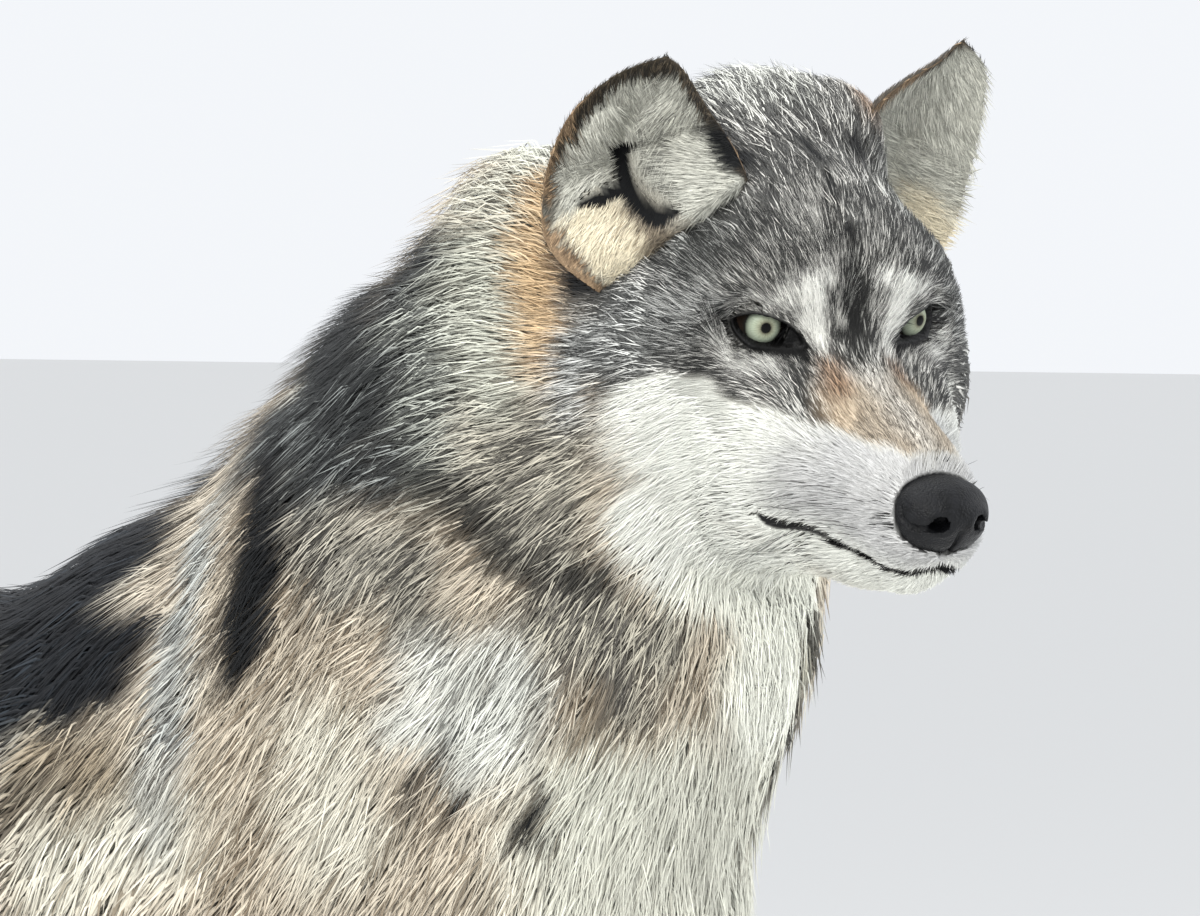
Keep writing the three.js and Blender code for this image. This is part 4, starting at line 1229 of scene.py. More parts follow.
def paint_head(coat, p):
    """The head, in its own frame, over what the body's markings give there."""
    q = to_head(wobbled(p, 3, 1.6))
    e = head_left(q)
    x, y, z = e.T
    over = lambda alpha, name: coat.over(alpha, HAIR[name])
    head = spot(e, [[-92, 0, 10, 96], [-20, 20, -20, 92], [90, 0, -50, 60]], 16)
    over(head, "face grey")
    paint(coat, e, RUFF_SPOTS)
    # The bridge of the nose.
    over(head * smooth(22, 44, x) * smooth(30, 24, y), "muzzle tan")
    paint(coat, e, NOSE_SPOTS)
    # White lips, chin and cheeks. On the left the dark of the cheek comes further forward.
    top = np.interp(x, *WHITE_TOP)
    left = np.interp(z, *WHITE_BACK)
    far = smooth(0, 10, q[:, 1]) * smooth(-75, -55, z)
    left = left + (6 - left) * far
    white = smooth(-3, 3, top - z) * smooth(-4.5, 4.5, x - left)
    over(white * head, "white")
    # painted shade: the upper front of the muzzle's white is coloured greyer, where it faces the
    # key light
    over(white * head * smooth(24, 60, x) * smooth(-84, -62, z), "muzzle white painted shade")
    paint(coat, e, EYE_SPOTS)
    paint(coat, q, EAR_FOOT_SPOTS)


def skin_marks(coat, p):
    """Bare black skin: the rims of the lids, the tear ducts, the lips and round the nose."""
    h = to_head(p)
    bare = np.zeros(len(p))
    for side in (1, -1):
        a, b, w = to_lids(h, side).T
        off = outside_lids(a, b)
        wide = np.where(b > 0, 1.9, 3.0 if side < 0 else 2.0) + 1.6 * smooth(-9, -17, a)
        duct = spot(np.stack([a, b, w * 0], 1), [[-15, -1.5, 0, 2.6], [-23, -6.5, 0, 1.2]], 0.9)
        bare = np.maximum(bare, np.maximum(smooth(0.8, -0.6, off - wide), duct) * by_lids(a, b, w))
    even = head_left(h)
    off, along = near_line(even, MOUTH_LINE)
    wide = np.interp(along, [0, 0.2, 0.36, 0.5, 0.6, 0.96, 1], [2.4, 3.4, 3.0, 0.9, 2.0, 3.8, 2.2])
    bare = np.maximum(bare, smooth(0.6, -0.5, off - wide))
    by_nose = np.full(len(p), 99.0)
    near = h[:, 0] > 80
    by_nose[near] = nose_pad(h[near])
    bare = np.maximum(bare, smooth(1.6, 0.4, by_nose))
    coat.over(bare, HAIR["bare"])
    return bare


def markings(p):
    """The coat at points of the skin, and how bare the skin is there."""
    coat = Coat(len(p))
    paint_body(coat, p)
    paint_head(coat, p)
    return coat, skin_marks(coat, p)


# ---- The coat ----
# Each tuft is a small closed solid: a lock of five points, bent where it is widest, or on the face,
# ears and legs a spike of four. They grow from the skin and settle on to the outline.

SPIKE_FACES = np.array([[0, 1, 3], [1, 2, 3], [2, 0, 3], [0, 2, 1]])
LOCK_FACES = np.array([[0, 2, 1], [0, 3, 2], [0, 1, 3], [4, 1, 2], [4, 2, 3], [4, 3, 1]])
PATCH = 0.0015  # half the width of a tuft's patch in its bake map
STRAND = 20  # mm of hair to each unit along the strand coordinate


def standing(root):
    """How far in mm the hair's tips stand out past the coat's outline."""
    e = body_left(root)
    out = 17 * spot(e, [[0, -120, 850, 40], [30, -190, 920, 30], [60, -215, 925, 24]], 26)
    out = np.maximum(out, 18 * spot(e, [[30, -235, 960, 26], [62, -248, 948, 16]], 20))
    out += 5 * spot(e, [[0, -40, 800, 30], [0, 500, 760, 20]], 30)
    out += 6 * spot(e, [[0, -310, 790, 40], [30, -290, 660, 40]], 20)
    return out + 6 * spot(to_head(root), [[-90, 0, 60, 30]], 20)


def unit_rows(v):
    return v / np.maximum(np.linalg.norm(v, axis=1), 1e-9)[:, None]


def flatten_on(v, normal):
    """v made tangent to a surface, at unit length."""
    return unit_rows(v - (v * normal).sum(1)[:, None] * normal)


def way_out(p):
    """The steps at points that each take them 1 mm out through the outline's field."""
    g = gradient(outline, p)
    return g / np.maximum((g * g).sum(1), LEAST_SLOPE)[:, None]


def swung(lie, normal, swing):
    """The way that hair lies on the skin, turned by an angle."""
    lie = flatten_on(lie, normal)
    return unit_rows(lie * np.cos(swing) + np.cross(normal, lie) * np.sin(swing))


def leaning(lie, normal, lift):
    """A way between the lie of the hair and straight out."""
    return lie * np.sqrt(1 - lift**2)[:, None] + normal * lift[:, None]


def drawn(pull, normal, share):
    """A tuft's move along the skin towards the middle of its clump."""
    return flatten_on(pull, normal) * (np.linalg.norm(pull, axis=1) * share)[:, None]


def scatter(points, normals, faces, weight, count, random):
    """Places spread over faces in proportion to area times weight."""
    a, b, c = (points[faces[:, i]] for i in range(3))
    area = np.linalg.norm(np.cross(b - a, c - a), axis=1) / 2 * weight
    total = np.cumsum(area)
    picks = (np.arange(count) + random.random(count)) / count * total[-1]
    chosen = np.minimum(np.searchsorted(total, picks), len(faces) - 1)
    u, v = np.sqrt(random.random(count)), random.random(count)
    share = np.stack([1 - u, u * (1 - v), u * v], 1)[:, :, None]
    corners = faces[chosen]
    at = (points[corners] * share).sum(1)
    return at, unit_rows((normals[corners] * share).sum(1)), chosen


def clumps(root, size):
    """From each root to the middle of its clump, and three numbers for the clump."""
    warp = 0.4 * np.stack([noise(root, 11, 20 + k) for k in range(3)], 1)
    cell = np.floor(root / size[:, None] + warp)
    n = (cell @ [73856093.0, 19349663.0, 83492791.0]).astype(np.int64) + SEED
    draws = []
    for step in range(3):
        n = (n * 1103515245 + 12345 + step * 977) & 0x7FFFFFFF
        n ^= n >> 11
        draws.append((n & 0xFFFF) / 0xFFFF)
    draws = np.stack(draws, 1)
    middle = (cell + 0.5 + (draws - 0.5) * 0.4 - warp) * size[:, None]
    return middle - root, draws


def combed(p, lie, squeeze=0.75):
    """Places drawn together along the hair, so that noise over them comes out in streaks."""
    q = p - EYES_MIDDLE
    return q - (q * lie).sum(1)[:, None] * lie * squeeze


def tuft_colours(near, far, guard, clump, random, streak):
    """Colours at a tuft's root, middle and tip, from the coat where it is widest and at its tip.
    The root's colour is darkened as painted shade.
    """
    count = len(near.share)
    swing = np.sqrt(np.clip(near.share * (1.1 - near.share), 0, 1)) * 2
    chance = near.share + swing * (0.62 * streak + 0.50 * (clump[:, 0] - 0.5))
    dark = smooth(-0.12, 0.12, chance - 0.24 - 0.52 * random.random(count))
    dark = np.where(near.share < 0.15, dark * 0.5, dark)
    banded = (near.share > 0.22) & (random.random(count) < np.where(guard, 0.6, 0.3))
    light = 1 + 0.22 * (random.random(count) - 0.5) + 0.20 * (clump[:, 1] - 0.5) + 0.08 * streak
    light = (light + 0.12 * (guard & (dark < 0.5)) * (near.share > 0.15))[:, None]

    def mixed(coat, k):
        return (coat.pale + (coat.dark - coat.pale) * np.clip(k, 0, 1)[:, None]) * light

    shift = far.share - near.share
    ends = np.where(banded, np.maximum(dark, 0.6 + 0.4 * random.random(count)), dark) + shift * 0.5
    # painted shade: the root's colour is darkened, less where the coat is pale
    deep = (0.55 + 0.3 * smooth(0.3, 0.1, near.share))[:, None]
    low = mixed(near, dark * 0.6 + 0.35 * near.share) * deep
    return low, mixed(near, dark * 0.9), mixed(far, ends)


def room_for_hair(root):
    """How long the hair may be, in mm, so that it stays off the eyes, the mouth and the nose."""
    room = np.full(len(root), 999.0)
    h = to_head(root)
    near = (h[:, 0] > -40) & (root[:, 2] > 700)
    g = h[near]
    clear = np.full(len(g), 999.0)
    for side in (1, -1):
        a, b, w = to_lids(g, side).T
        off = outside_lids(a, b)
        by_eye = by_lids(a, b, w, 36, 26) & (off < 14)
        clear = np.where(by_eye, np.minimum(clear, 2.2 + off * 1.1), clear)
    even = head_left(g)
    off, _ = near_line(even, MOUTH_LINE)
    lips = (off < 16) & (even[:, 0] > 24)
    above = even[:, 2] > np.interp(even[:, 0], MOUTH_LINE[::-1, 0], MOUTH_LINE[::-1, 2])
    clear = np.where(lips & above, np.minimum(clear, 0.8 + np.maximum(off - 2, 0) * 0.9), clear)
    room[near] = clear
    return room


def locks(root, normal, lie, depth, length, width, random):
    """Long hair: points, faces, colours, normals, strand coordinates and patch offsets."""
    count = len(root)
    guard = random.random(count) < 0.42
    pull, clump = clumps(root, 0.10 * length + 1.5)
    wide_pull, wide_clump = clumps(root, 0.30 * length + 2)
    swing = noise(root, 30, 11) * 0.22 + (clump[:, 2] - 0.5) * 0.55 + (wide_clump[:, 2] - 0.5) * 0.4
    swing = (swing + (random.random(count) - 0.5) * 0.3)[:, None]
    lie = swung(lie, normal, swing)
    spread = 0.68 + 0.3 * random.random(count) + 0.3 * clump[:, 0]
    ell = length * np.where(guard, 1.06, 0.8) * spread
    thick = width * np.where(guard, 0.85, 1.1) * (0.75 + 0.5 * random.random(count))
    rise = np.where(guard, 0.88, 0.70) + 0.26 * (clump[:, 1] - 0.5)
    rise = rise + 0.24 * (wide_clump[:, 1] - 0.5)
    rise += 0.16 * (random.random(count) - 0.5)
    lift = np.minimum(depth / length * 1.2, 0.85)
    widest = np.interp(length, [20, 55], [0.42, 0.64])  # how far along itself a lock is widest
    relief = np.minimum(depth, 7 + 0.22 * depth)
    ring = root + leaning(lie, normal, lift) * (ell * widest)[:, None]
    ring += drawn(pull, normal, 0.45)
    up = way_out(ring)
    d = outline(ring)
    stand = standing(root)
    ring -= up * np.clip(d + relief * (1 - rise * 0.88) - stand * 0.55, -depth - 16, 30)[:, None]
    up = unit_rows(up)
    along = flatten_on(ring - root, up) * 0.6 + flatten_on(lie, up) * 0.4
    tip = ring + unit_rows(along + [0, 0, -0.10]) * (ell * (1.02 - widest))[:, None]
    tip += pull * 0.55 + wide_pull * 0.26
    g = way_out(tip)
    d = outline(tip)
    target = -relief * (1 - rise * 1.04) + 0.03 * length * (clump[:, 2] - 0.35)
    target += stand * (0.45 + 0.75 * wide_clump[:, 0]) * (0.6 + 0.4 * guard)
    tip -= g * np.clip(d - target, -depth - 30, 40)[:, None]
    side = unit_rows(np.cross(tip - root, up))
    half = (thick / 2)[:, None]
    base = root - normal * np.minimum(1.0, depth * 0.3)[:, None]
    ridge = ring + up * half * 0.8
    points = np.stack([base, ring - side * half, ridge, ring + side * half, tip], 1)
    places = combed(ring, lie)
    streak = noise(places, 5, 14) * 0.5 + noise(places, 13, 17) * 0.5 + noise(places, 30, 15) * 0.4
    streak += (wide_clump[:, 0] - 0.5) * 0.7
    near, far = markings(ring * 0.8 + tip * 0.2)[0], markings(ring * 0.45 + tip * 0.55)[0]
    tones = tuft_colours(near, far, guard, clump, random, streak)
    # painted shade: the lock's base point takes the darkened root colour
    colours = np.stack([tones[0], tones[1], tones[1], tones[1], tones[2]], 1)
    soft = [up, up - side * 0.65, up, up + side * 0.65, up + unit_rows(tip - ring) * 0.25]
    normals = np.stack([unit_rows(n) for n in soft], 1)
    strand = np.zeros((count, 5, 3))
    strand[:, :, 0] = [0, -1, 0, 1, 0]
    along_it = [widest * 0, widest, widest, widest, widest * 0 + 1]
    strand[:, :, 1] = np.stack(along_it, 1) * (ell / STRAND)[:, None]
    strand[:, :, 2] = random.random(count)[:, None]
    patch = np.array([[0, -1], [-1, 0], [0, 0.2], [1, 0], [0, 1]]) * PATCH
    return points, LOCK_FACES, colours, normals, strand, patch


def spikes(root, normal, lie, depth, length, width, random, coat=None):
    """Short hair, as locks() gives long hair. An ear's hair brings its own colours."""
    count = len(root)
    guard = random.random(count) < 0.28
    pull, clump = clumps(root, 0.11 * length + 1.0)
    swing = noise(root, 18, 16) * 0.2 + (clump[:, 2] - 0.5) * 0.5
    swing = swing + (random.random(count) - 0.5) * 0.35
    swing = swing[:, None]
    lie = swung(lie, normal, swing)
    ell = np.minimum(length * (0.65 + 0.6 * random.random(count)), room_for_hair(root))
    thick = width * (0.75 + 0.4 * random.random(count)) * np.where(guard, 1.55, 0.95)
    rise = np.where(guard, 0.95, 0.72) + 0.35 * (clump[:, 1] - 0.5)
    rise = rise + 0.25 * (random.random(count) - 0.5)
    lift = np.minimum(depth / length * 1.05, 0.7)
    tip = root + leaning(lie, normal, lift) * ell[:, None]
    tip += drawn(pull, normal, 0.7)
    if coat is None:
        g = way_out(tip)
        d = outline(tip)
        floor = np.maximum(outline(root) + depth * 0.8, 0)  # where the lids stand over the outline
        tip -= g * np.clip(d + depth * (1 - rise) - floor, -depth - 8, 12)[:, None]
        coat, _ = markings(root * 0.4 + tip * 0.6)
    side = unit_rows(np.cross(tip - root, normal))
    half = (thick / 2)[:, None]
    sunk = root - normal * np.minimum(0.5, depth * 0.3)[:, None]
    crown = root + normal * half * 0.55 + lie * half * 1.5
    points = np.stack([sunk - side * half, crown, sunk + side * half, tip], 1)
    places = combed(root * 0.4 + tip * 0.6, lie, 0.86)
    streak = noise(places, 1.8, 19) * 0.9 + noise(places, 4.2, 15) * 0.5
    streak = streak + noise(places, 12, 13) * 0.22
    tones = tuft_colours(coat, coat, guard, clump, random, streak)
    # painted shade: the spike's base corners take part of the darkened root colour
    low = tones[0] * 0.4 + tones[1] * 0.6
    colours = np.stack([low, tones[1], low, tones[2]], 1)
    soft = [normal - side * 0.5, normal, normal + side * 0.5, normal + lie * 0.2]
    normals = np.stack([unit_rows(n) for n in soft], 1)
    strand = np.zeros((count, 4, 3))
    strand[:, :, 0] = [-1, 0, 1, 0]
    strand[:, :, 1] = np.array([0, 0.2, 0, 1]) * (ell / STRAND)[:, None]
    strand[:, :, 2] = random.random(count)[:, None]
    patch = np.array([[-1, -1], [0, -0.5], [1, -1], [0, 1]]) * PATCH
    return points, SPIKE_FACES, colours, normals, strand, patch


def around(p, middle, along, up, low, high):
    """An unwrap about a straight line: the turn about it, and how far along it, each 0 to 1."""
    along, up = unit(along), unit(up)
    q = p - np.array(middle, float)
    side = np.cross(along, up)
    turn = np.arctan2(q @ side, q @ up) / (2 * math.pi) + 0.5
    return np.stack([turn, (q @ along - low) / (high - low)], 1)


def add_tufts(name, made, root_map, slot, material):
    """One coat piece from what locks() or spikes() made."""
    points, faces, colours, normals, strand, patch = made
    count, corners = points.shape[:2]
    all_faces = (faces[None] + np.arange(count)[:, None, None] * corners).reshape(-1, 3)
    colour = np.ones((count * corners, 4))
    colour[:, :3] = colours.reshape(-1, 3)
    thing = piece(
        name, points.reshape(-1, 3), all_faces, slot, material,
        Col=colour, strand=strand.reshape(-1, 3),
    )
    uv = np.clip(root_map, 0.004, 0.996)[:, None, :] + patch[None]
    layer = thing.data.uv_layers.new(name="OFBake")
    layer.uv.foreach_set("vector", uv.reshape(-1, 2)[all_faces.ravel()].astype(np.float32).ravel())
    thing.data.normals_split_custom_set_from_vertices(normals.reshape(-1, 3).tolist())
    return thing


# ---- Materials ----


class Material:
    """A new material with its shader's values, and short ways to add and join its nodes."""

    def __init__(self, name, **looks):
        self.made = bpy.data.materials.new(name)
        self.made.use_nodes = True
        self.shader = self.made.node_tree.nodes["Principled BSDF"]
        for key, value in looks.items():
            self.shader.inputs[key.replace("_", " ")].default_value = value

    def add(self, kind, **settings):
        node = self.made.node_tree.nodes.new("ShaderNode" + kind)
        for key, value in settings.items():
            if key in node.inputs:
                node.inputs[key].default_value = value
            else:
                setattr(node, key, value)
        return node

    def join(self, a, out, b, into):
        self.made.node_tree.links.new(a.outputs[out], b.inputs[into])

    def named(self, key):
        return self.add("Attribute", attribute_name=key)

    def scaled(self, source, by):
        node = self.add("VectorMath", operation="MULTIPLY")
        node.inputs[1].default_value = by
        self.join(source, "Vector", node, 0)
        return node

    def math(self, operation, *values):
        """Arithmetic on numbers and on outputs, each given as its node and its name."""
        node = self.add("Math", operation=operation)
        for i, value in enumerate(values):
            if isinstance(value, tuple):
                self.join(*value, node, i)
            else:
                node.inputs[i].default_value = value
        return node

    def noise(self, source, out, **settings):
        node = self.add("TexNoise", noise_dimensions="3D", **settings)
        self.join(source, out, node, "Vector")
        return node

    def cells(self, source, **settings):
        node = self.add("TexVoronoi", **settings)
        self.join(source, "Vector", node, "Vector")
        return node

    def ranged(self, source, out, to, ends=(0.3, 0.7)):
        node = self.add("MapRange")
        for key, value in zip(("From Min", "From Max", "To Min", "To Max"), (*ends, *to)):
            node.inputs[key].default_value = value
        self.join(source, out, node, "Value")
        return node

    def ramp(self, source, stops):
        node = self.add("ValToRGB")
        bar = node.color_ramp
        while len(bar.elements) < len(stops):
            bar.elements.new(1.0)
        for element, (at, rgb) in zip(bar.elements, stops):
            element.position = at
            element.color = (*rgb, 1)
        self.join(source, 0, node, "Fac")
        return node

    def bump(self, source, out, strength, distance, **settings):
        node = self.add("Bump", Strength=strength, Distance=distance, **settings)
        self.join(source, out, node, "Height")
        return node

    def look(self, node, out, socket):
        self.join(node, out, self.shader, socket)

    def tint(self, colour, shade):
        """The base colour: a colour made lighter and darker."""
        node = self.add("VectorMath", operation="SCALE")
        self.join(colour, "Color", node, 0)
        self.join(shade, 0, node, "Scale")
        self.look(node, 0, "Base Color")


def coat_material(name, roughness, stripes, depth):
    """Hair: each tuft's own colour, with finer strands along it in colour and relief."""
    looks = {"Specular_IOR_Level": 0.22, "Sheen_Weight": 0.05, "Sheen_Roughness": 0.5}
    m = Material(name, Roughness=roughness, **looks)
    spread = m.scaled(m.named("strand"), (stripes, 0.9, 41.0))
    strands = m.noise(spread, 0, Scale=1.0, Detail=2.0, Roughness=0.6)
    m.tint(m.named("Col"), m.ranged(strands, 0, (0.72, 1.22)))
    m.look(m.bump(strands, 0, 0.6, depth), 0, "Normal")
    return m.made


def skin_material():
    """The skin under the hair, in the coat's markings; the bare parts are damp and finely lined."""
    m = Material("skin_hair", Specular_IOR_Level=0.2)
    flow = m.named("flow")
    hairs = m.noise(flow, "Vector", Scale=1.0, Detail=3.0, Roughness=0.65)
    m.tint(m.named("Col"), m.ranged(hairs, 0, (0.6, 1.25)))
    m.look(m.ranged(m.named("bare"), "Fac", (0.8, 0.42), (0, 1)), 0, "Roughness")
    fine = m.bump(m.cells(flow, Scale=0.9), 0, 0.25, 0.0003)
    m.join(m.bump(hairs, 0, 0.7, 0.0006), 0, fine, "Normal")
    m.look(fine, 0, "Normal")
    return m.made


IRIS = [  # from the pupil out to the eyeball's back
    (0.0, (0.0, 0.0, 0.0)), (0.165, (0.001, 0.001, 0.001)), (0.21, (0.16, 0.16, 0.11)),
    (0.29, (0.30, 0.32, 0.23)), (0.45, (0.36, 0.41, 0.31)), (0.56, (0.30, 0.34, 0.26)),
    (0.64, (0.14, 0.16, 0.12)), (0.69, (0.010, 0.010, 0.009)), (0.80, (0.020, 0.014, 0.010)),
    (1.0, (0.06, 0.04, 0.03)),
]


def eye_material():
    """A wet surface over the iris; "gaze" holds mm across, up and out from the eye's middle."""
    looks = {"Coat_Weight": 0.5, "Coat_Roughness": 0.02, "Coat_IOR": 1.3}
    m = Material("eye_wet", Roughness=0.4, Specular_IOR_Level=0.0, **looks)
    gaze = m.named("gaze")
    radius = m.add("VectorMath", operation="LENGTH")
    m.join(m.scaled(gaze, (1, 1, 0)), 0, radius, 0)
    apart = m.add("SeparateXYZ")
    m.join(gaze, "Vector", apart, 0)
    angle = m.math("ARCTAN2", (apart, "Y"), (apart, "X"))
    spokes = m.add("CombineXYZ")
    m.join(m.math("MULTIPLY", (angle, 0), 7.0), 0, spokes, "X")
    m.join(m.math("MULTIPLY", (radius, "Value"), 0.22), 0, spokes, "Y")
    fibres = m.noise(spokes, 0, Scale=1.6, Detail=4.0, Roughness=0.7)
    sway = m.math("MULTIPLY_ADD", (fibres, 0), 1.5, (radius, "Value"))
    ring = m.ranged(sway, "Value", (0.0, 1.0), (0.75, 13.75))
    m.tint(m.ramp(ring, IRIS), m.ranged(fibres, 0, (0.72, 1.12)))
    return m.made


def nose_material():
    """Damp black leather in fine pebbles."""
    m = Material("nose_leather", Specular_IOR_Level=0.18)
    where = m.named("place")
    patches = m.noise(where, "Vector", Scale=0.18, Detail=3.0)
    stops = [(0.35, (0.0025, 0.0027, 0.0032)), (0.7, (0.0075, 0.008, 0.0095))]
    m.look(m.ramp(patches, stops), "Color", "Base Color")
    m.look(m.ranged(patches, 0, (0.40, 0.58)), 0, "Roughness")
    pebbles = m.cells(where, feature="F1", Scale=0.85)
    m.look(m.bump(pebbles, "Distance", 0.55, 0.0006, invert=True), 0, "Normal")
    return m.made


def horn_material():
    m = Material("claw_horn", Roughness=0.32)
    grain = m.noise(m.named("place"), "Vector", Scale=0.5, Detail=3.0)
    stops = [(0.0, (0.012, 0.011, 0.010)), (1.0, (0.075, 0.062, 0.050))]
    m.look(m.ramp(grain, stops), "Color", "Base Color")
    m.look(m.bump(grain, 0, 0.3, 0.0004), 0, "Normal")
    return m.made


# ---- Tubes: whiskers and claws ----


def tube(line, radii, sides):
    """A closed tube along points, with a radius at each; the last is its tip."""
    line = np.array(line, float)
    ways = unit_rows(np.gradient(line, axis=0))
    side = unit_rows(np.cross(ways, ways.mean(0) + np.array([0.31, 0.17, 0.92])))
    up = np.cross(side, ways)
    turns = np.arange(sides) / sides * 2 * math.pi
    ring = np.cos(turns)[None, :, None] * side[:, None] + np.sin(turns)[None, :, None] * up[:, None]
    points = line[:, None] + ring * np.array(radii)[:, None, None]
    points = np.vstack([points[:-1].reshape(-1, 3), line[-1:], line[:1]])
    rings, tip = len(line) - 1, len(points) - 2
    faces = []
    for r in range(rings - 1):
        for s in range(sides):
            a, b = r * sides + s, r * sides + (s + 1) % sides
            faces += [[a, b, b + sides], [a, b + sides, a + sides]]
    last = (rings - 1) * sides
    for s in range(sides):
        faces.append([last + s, last + (s + 1) % sides, tip])
        faces.append([(s + 1) % sides, s, tip + 1])
    return points, np.array(faces)


def gathered(parts):
    """Meshes joined into one."""
    points, faces, start = [], [], 0
    for p, f in parts:
        points.append(p)
        faces.append(f + start)
        start += len(p)
    return np.vstack(points), np.vstack(faces)


CLAW_LINE = [[0, 8, 2], [0, -6, 3], [0, -15, -2], [0, -20, -9]]


def claws(foot):
    x, y, size = FEET[foot]
    parts = []
    for across in TOES:
        at = np.array([x + across * size, y + (toe_ahead(across) - 24) * size, 19 * size])
        t = np.linspace(0, 1, 11)
        line = curve_through(CLAW_LINE, t) * size + at
        parts.append(tube(line, (4.2 * (1 - t) ** 0.55 + 0.4) * size, 14))
    return gathered(parts)


def whiskers(points, normals, random):
    """Thin stiff hairs in four rows on each side of the muzzle."""
    h = to_head(points)
    parts = []
    roots = [
        (88 - 11 * n - 5 * (row % 2), z - 1.5 * n, 20 + 7 * n)
        for row, z in enumerate((-49, -56, -63, -69))
        for n in range(4)
    ]
    for side in (1, -1):
        for x, z, length in roots:
            wanted = np.array([x, side * 26, z])
            other_side = (h[:, 1:2] * side < 4) * 99
            i = np.linalg.norm((h - wanted) * [1, 0.5, 1] + other_side, axis=1).argmin()
            n = HEAD.T @ normals[i]
            rise = 0.5 * random.random() - 0.1
            way = unit(n * 0.8 + np.array([-0.5, side * 0.2, rise]))
            length *= 0.65 + 0.6 * random.random()
            droop = unit(np.array([-0.9, side * 0.1, -0.5 - 0.5 * random.random()]))
            t = np.linspace(0, 1, 8)[:, None]
            line = h[i] - n * 0.5 + way * length * t + droop * length * 0.75 * t**2
            parts.append(tube(from_head(line), 0.19 * (1 - 0.9 * t[:, 0]) + 0.02, 5))
    return gathered(parts)


# ---- Camera, floor and light ----

CAMERA_AZIMUTH, CAMERA_ELEVATION = -55, 1.6  # degrees from straight in front
CAMERA_FAR = 4.5  # m
PICTURE_HALF = 0.283  # m from the middle of the picture to its side, at the head
AIM = (-111.8, -61.8)  # mm that the picture's middle lies across from the eyes and above them


def camera():
    turn, rise = math.radians(-CAMERA_AZIMUTH), math.radians(CAMERA_ELEVATION)
    right = np.array([math.cos(turn), -math.sin(turn), 0])
    level = math.cos(rise)
    back = np.array([-math.sin(turn) * level, -math.cos(turn) * level, math.sin(rise)])
    target = place(EYES_MIDDLE + right * AIM[0] + np.array([0, 0, AIM[1]]))
    data = bpy.data.cameras.new("camera")
    made = bpy.data.objects.new("camera", data)
    bpy.context.scene.collection.objects.link(made)
    made.location = Vector(target + back * CAMERA_FAR)
    made.rotation_mode = "QUATERNION"
    made.rotation_quaternion = Vector(-back).to_track_quat("-Z", "Y")
    data.sensor_width = 36
    data.lens = data.sensor_width / 2 * CAMERA_FAR / PICTURE_HALF
    data.clip_end = 200
    bpy.context.scene.camera = made


# ---- The coat's regions ----
# Each is one piece: how many tufts, whether they are locks or spikes, its slot, and how many
# layers of them should lie over one another.

REGIONS = {
    "fur_muzzle": (21000, "spike", "pale_coat", 3.6),
    "fur_face_right": (35000, "spike", "coat", 3.6),
    "fur_face_left": (14000, "spike", "coat", 3.6),
    "fur_crown": (11500, "lock", "coat", 8),
    "fur_ruff_right": (22000, "lock", "coat", 8),
    "fur_ruff_left": (9000, "lock", "coat", 7),
    "fur_neck_right": (27000, "lock", "coat", 9),
    "fur_neck_left": (9500, "lock", "coat", 7),
    "fur_chest": (17000, "lock", "coat", 8),
    "fur_shoulder_right": (30000, "lock", "coat", 8),
    "fur_shoulder_left": (10000, "lock", "coat", 6),
    "fur_trunk": (21000, "lock", "coat", 5.5),
    "fur_rump": (19000, "lock", "coat", 5.5),
    "fur_tail": (6500, "lock", "coat", 6),
    "fur_legs": (26000, "spike", "pale_coat", 3.2),
}
SPIKE_LONGEST = 36.0  # mm: longer hair grows only as locks
SPIKE_CUT = 24  # mm that a spike is cut down to
BAREST = 0.45  # skin that is barer grows no hair
THINNEST, WIDEST = 0.45, 1.5  # how far a tuft's width is scaled to make up the layers
LOCK_SHORTEST = 19.0  # mm: shorter hair grows only as spikes; between the two they mingle


def region_of(p, length, longest):
    """The name of the coat piece that each place of the skin belongs to."""
    h = to_head(p)
    x, y, z = p.T
    head = np.linalg.norm(h - [-30, 0, -25], axis=1) < 128
    head |= (h[:, 0] > 20) & (z > 700)
    short = length + 4 * noise(p, 7, 41) < longest
    right = np.where(head, h[:, 1] < 0, x < 0)
    name = np.where(y < 330, "fur_trunk", "fur_rump").astype("<U18")
    name[(y < 50) & right] = "fur_shoulder_right"
    name[(y < 50) & ~right] = "fur_shoulder_left"
    name[(y < -150) & (z > 430)] = "fur_chest"
    neck = (y < -50) & (z > 700)
    name[neck & right] = "fur_neck_right"
    name[neck & ~right] = "fur_neck_left"
    name[(y > 655) & (z > 180)] = "fur_tail"
    name[(short | (z < 300)) & ~head & (z < 560)] = "fur_legs"
    name[head & right] = "fur_ruff_right"
    name[head & ~right] = "fur_ruff_left"
    name[head & (h[:, 2] > 40) & (h[:, 0] < -20)] = "fur_crown"
    name[head & short & right] = "fur_face_right"
    name[head & short & ~right] = "fur_face_left"
    name[head & short & (h[:, 0] > 20)] = "fur_muzzle"
    return name


def root_map(name, p):
    """Where each root lies on its region's unwrap, from 0 to 1."""
    if name == "fur_legs":
        x, y = p[:, 0], p[:, 1]
        turn = np.zeros((len(p), 2))
        for k, (side, front) in enumerate([(-1, True), (1, True), (-1, False), (1, False)]):
            mine = ((x < 0) == (side < 0)) & ((y < 200) == front)
            middle = [side * 84, -50 if front else 560, 0]
            chart = around(p[mine], middle, [0, 0, 1], [0, -1, 0], 0, 600)
            turn[mine] = np.stack([(chart[:, 0] + k) / 4, chart[:, 1]], 1)
        return turn
    if name.startswith(("fur_muzzle", "fur_face", "fur_crown", "fur_ruff")):
        chart = around(to_head(p), [0, 0, -30], [1, 0, 0], [0, 0, 1], -170, 120)
    elif name.startswith(("fur_neck", "fur_chest")):
        chart = around(p, [0, -170, 780], [0, -0.45, 0.9], [0, -1, 0], -330, 260)
    elif name == "fur_tail":
        chart = around(p, [6, 740, 500], [0, -0.15, 1], [0, 1, 0], -320, 280)
    else:
        chart = around(p, [0, 100, 620], [0, 1, 0], [0, 0, 1], -330, 640)
    low, high = chart.min(0), chart.max(0)
    return (chart - low) / np.maximum(high - low, 1e-6)


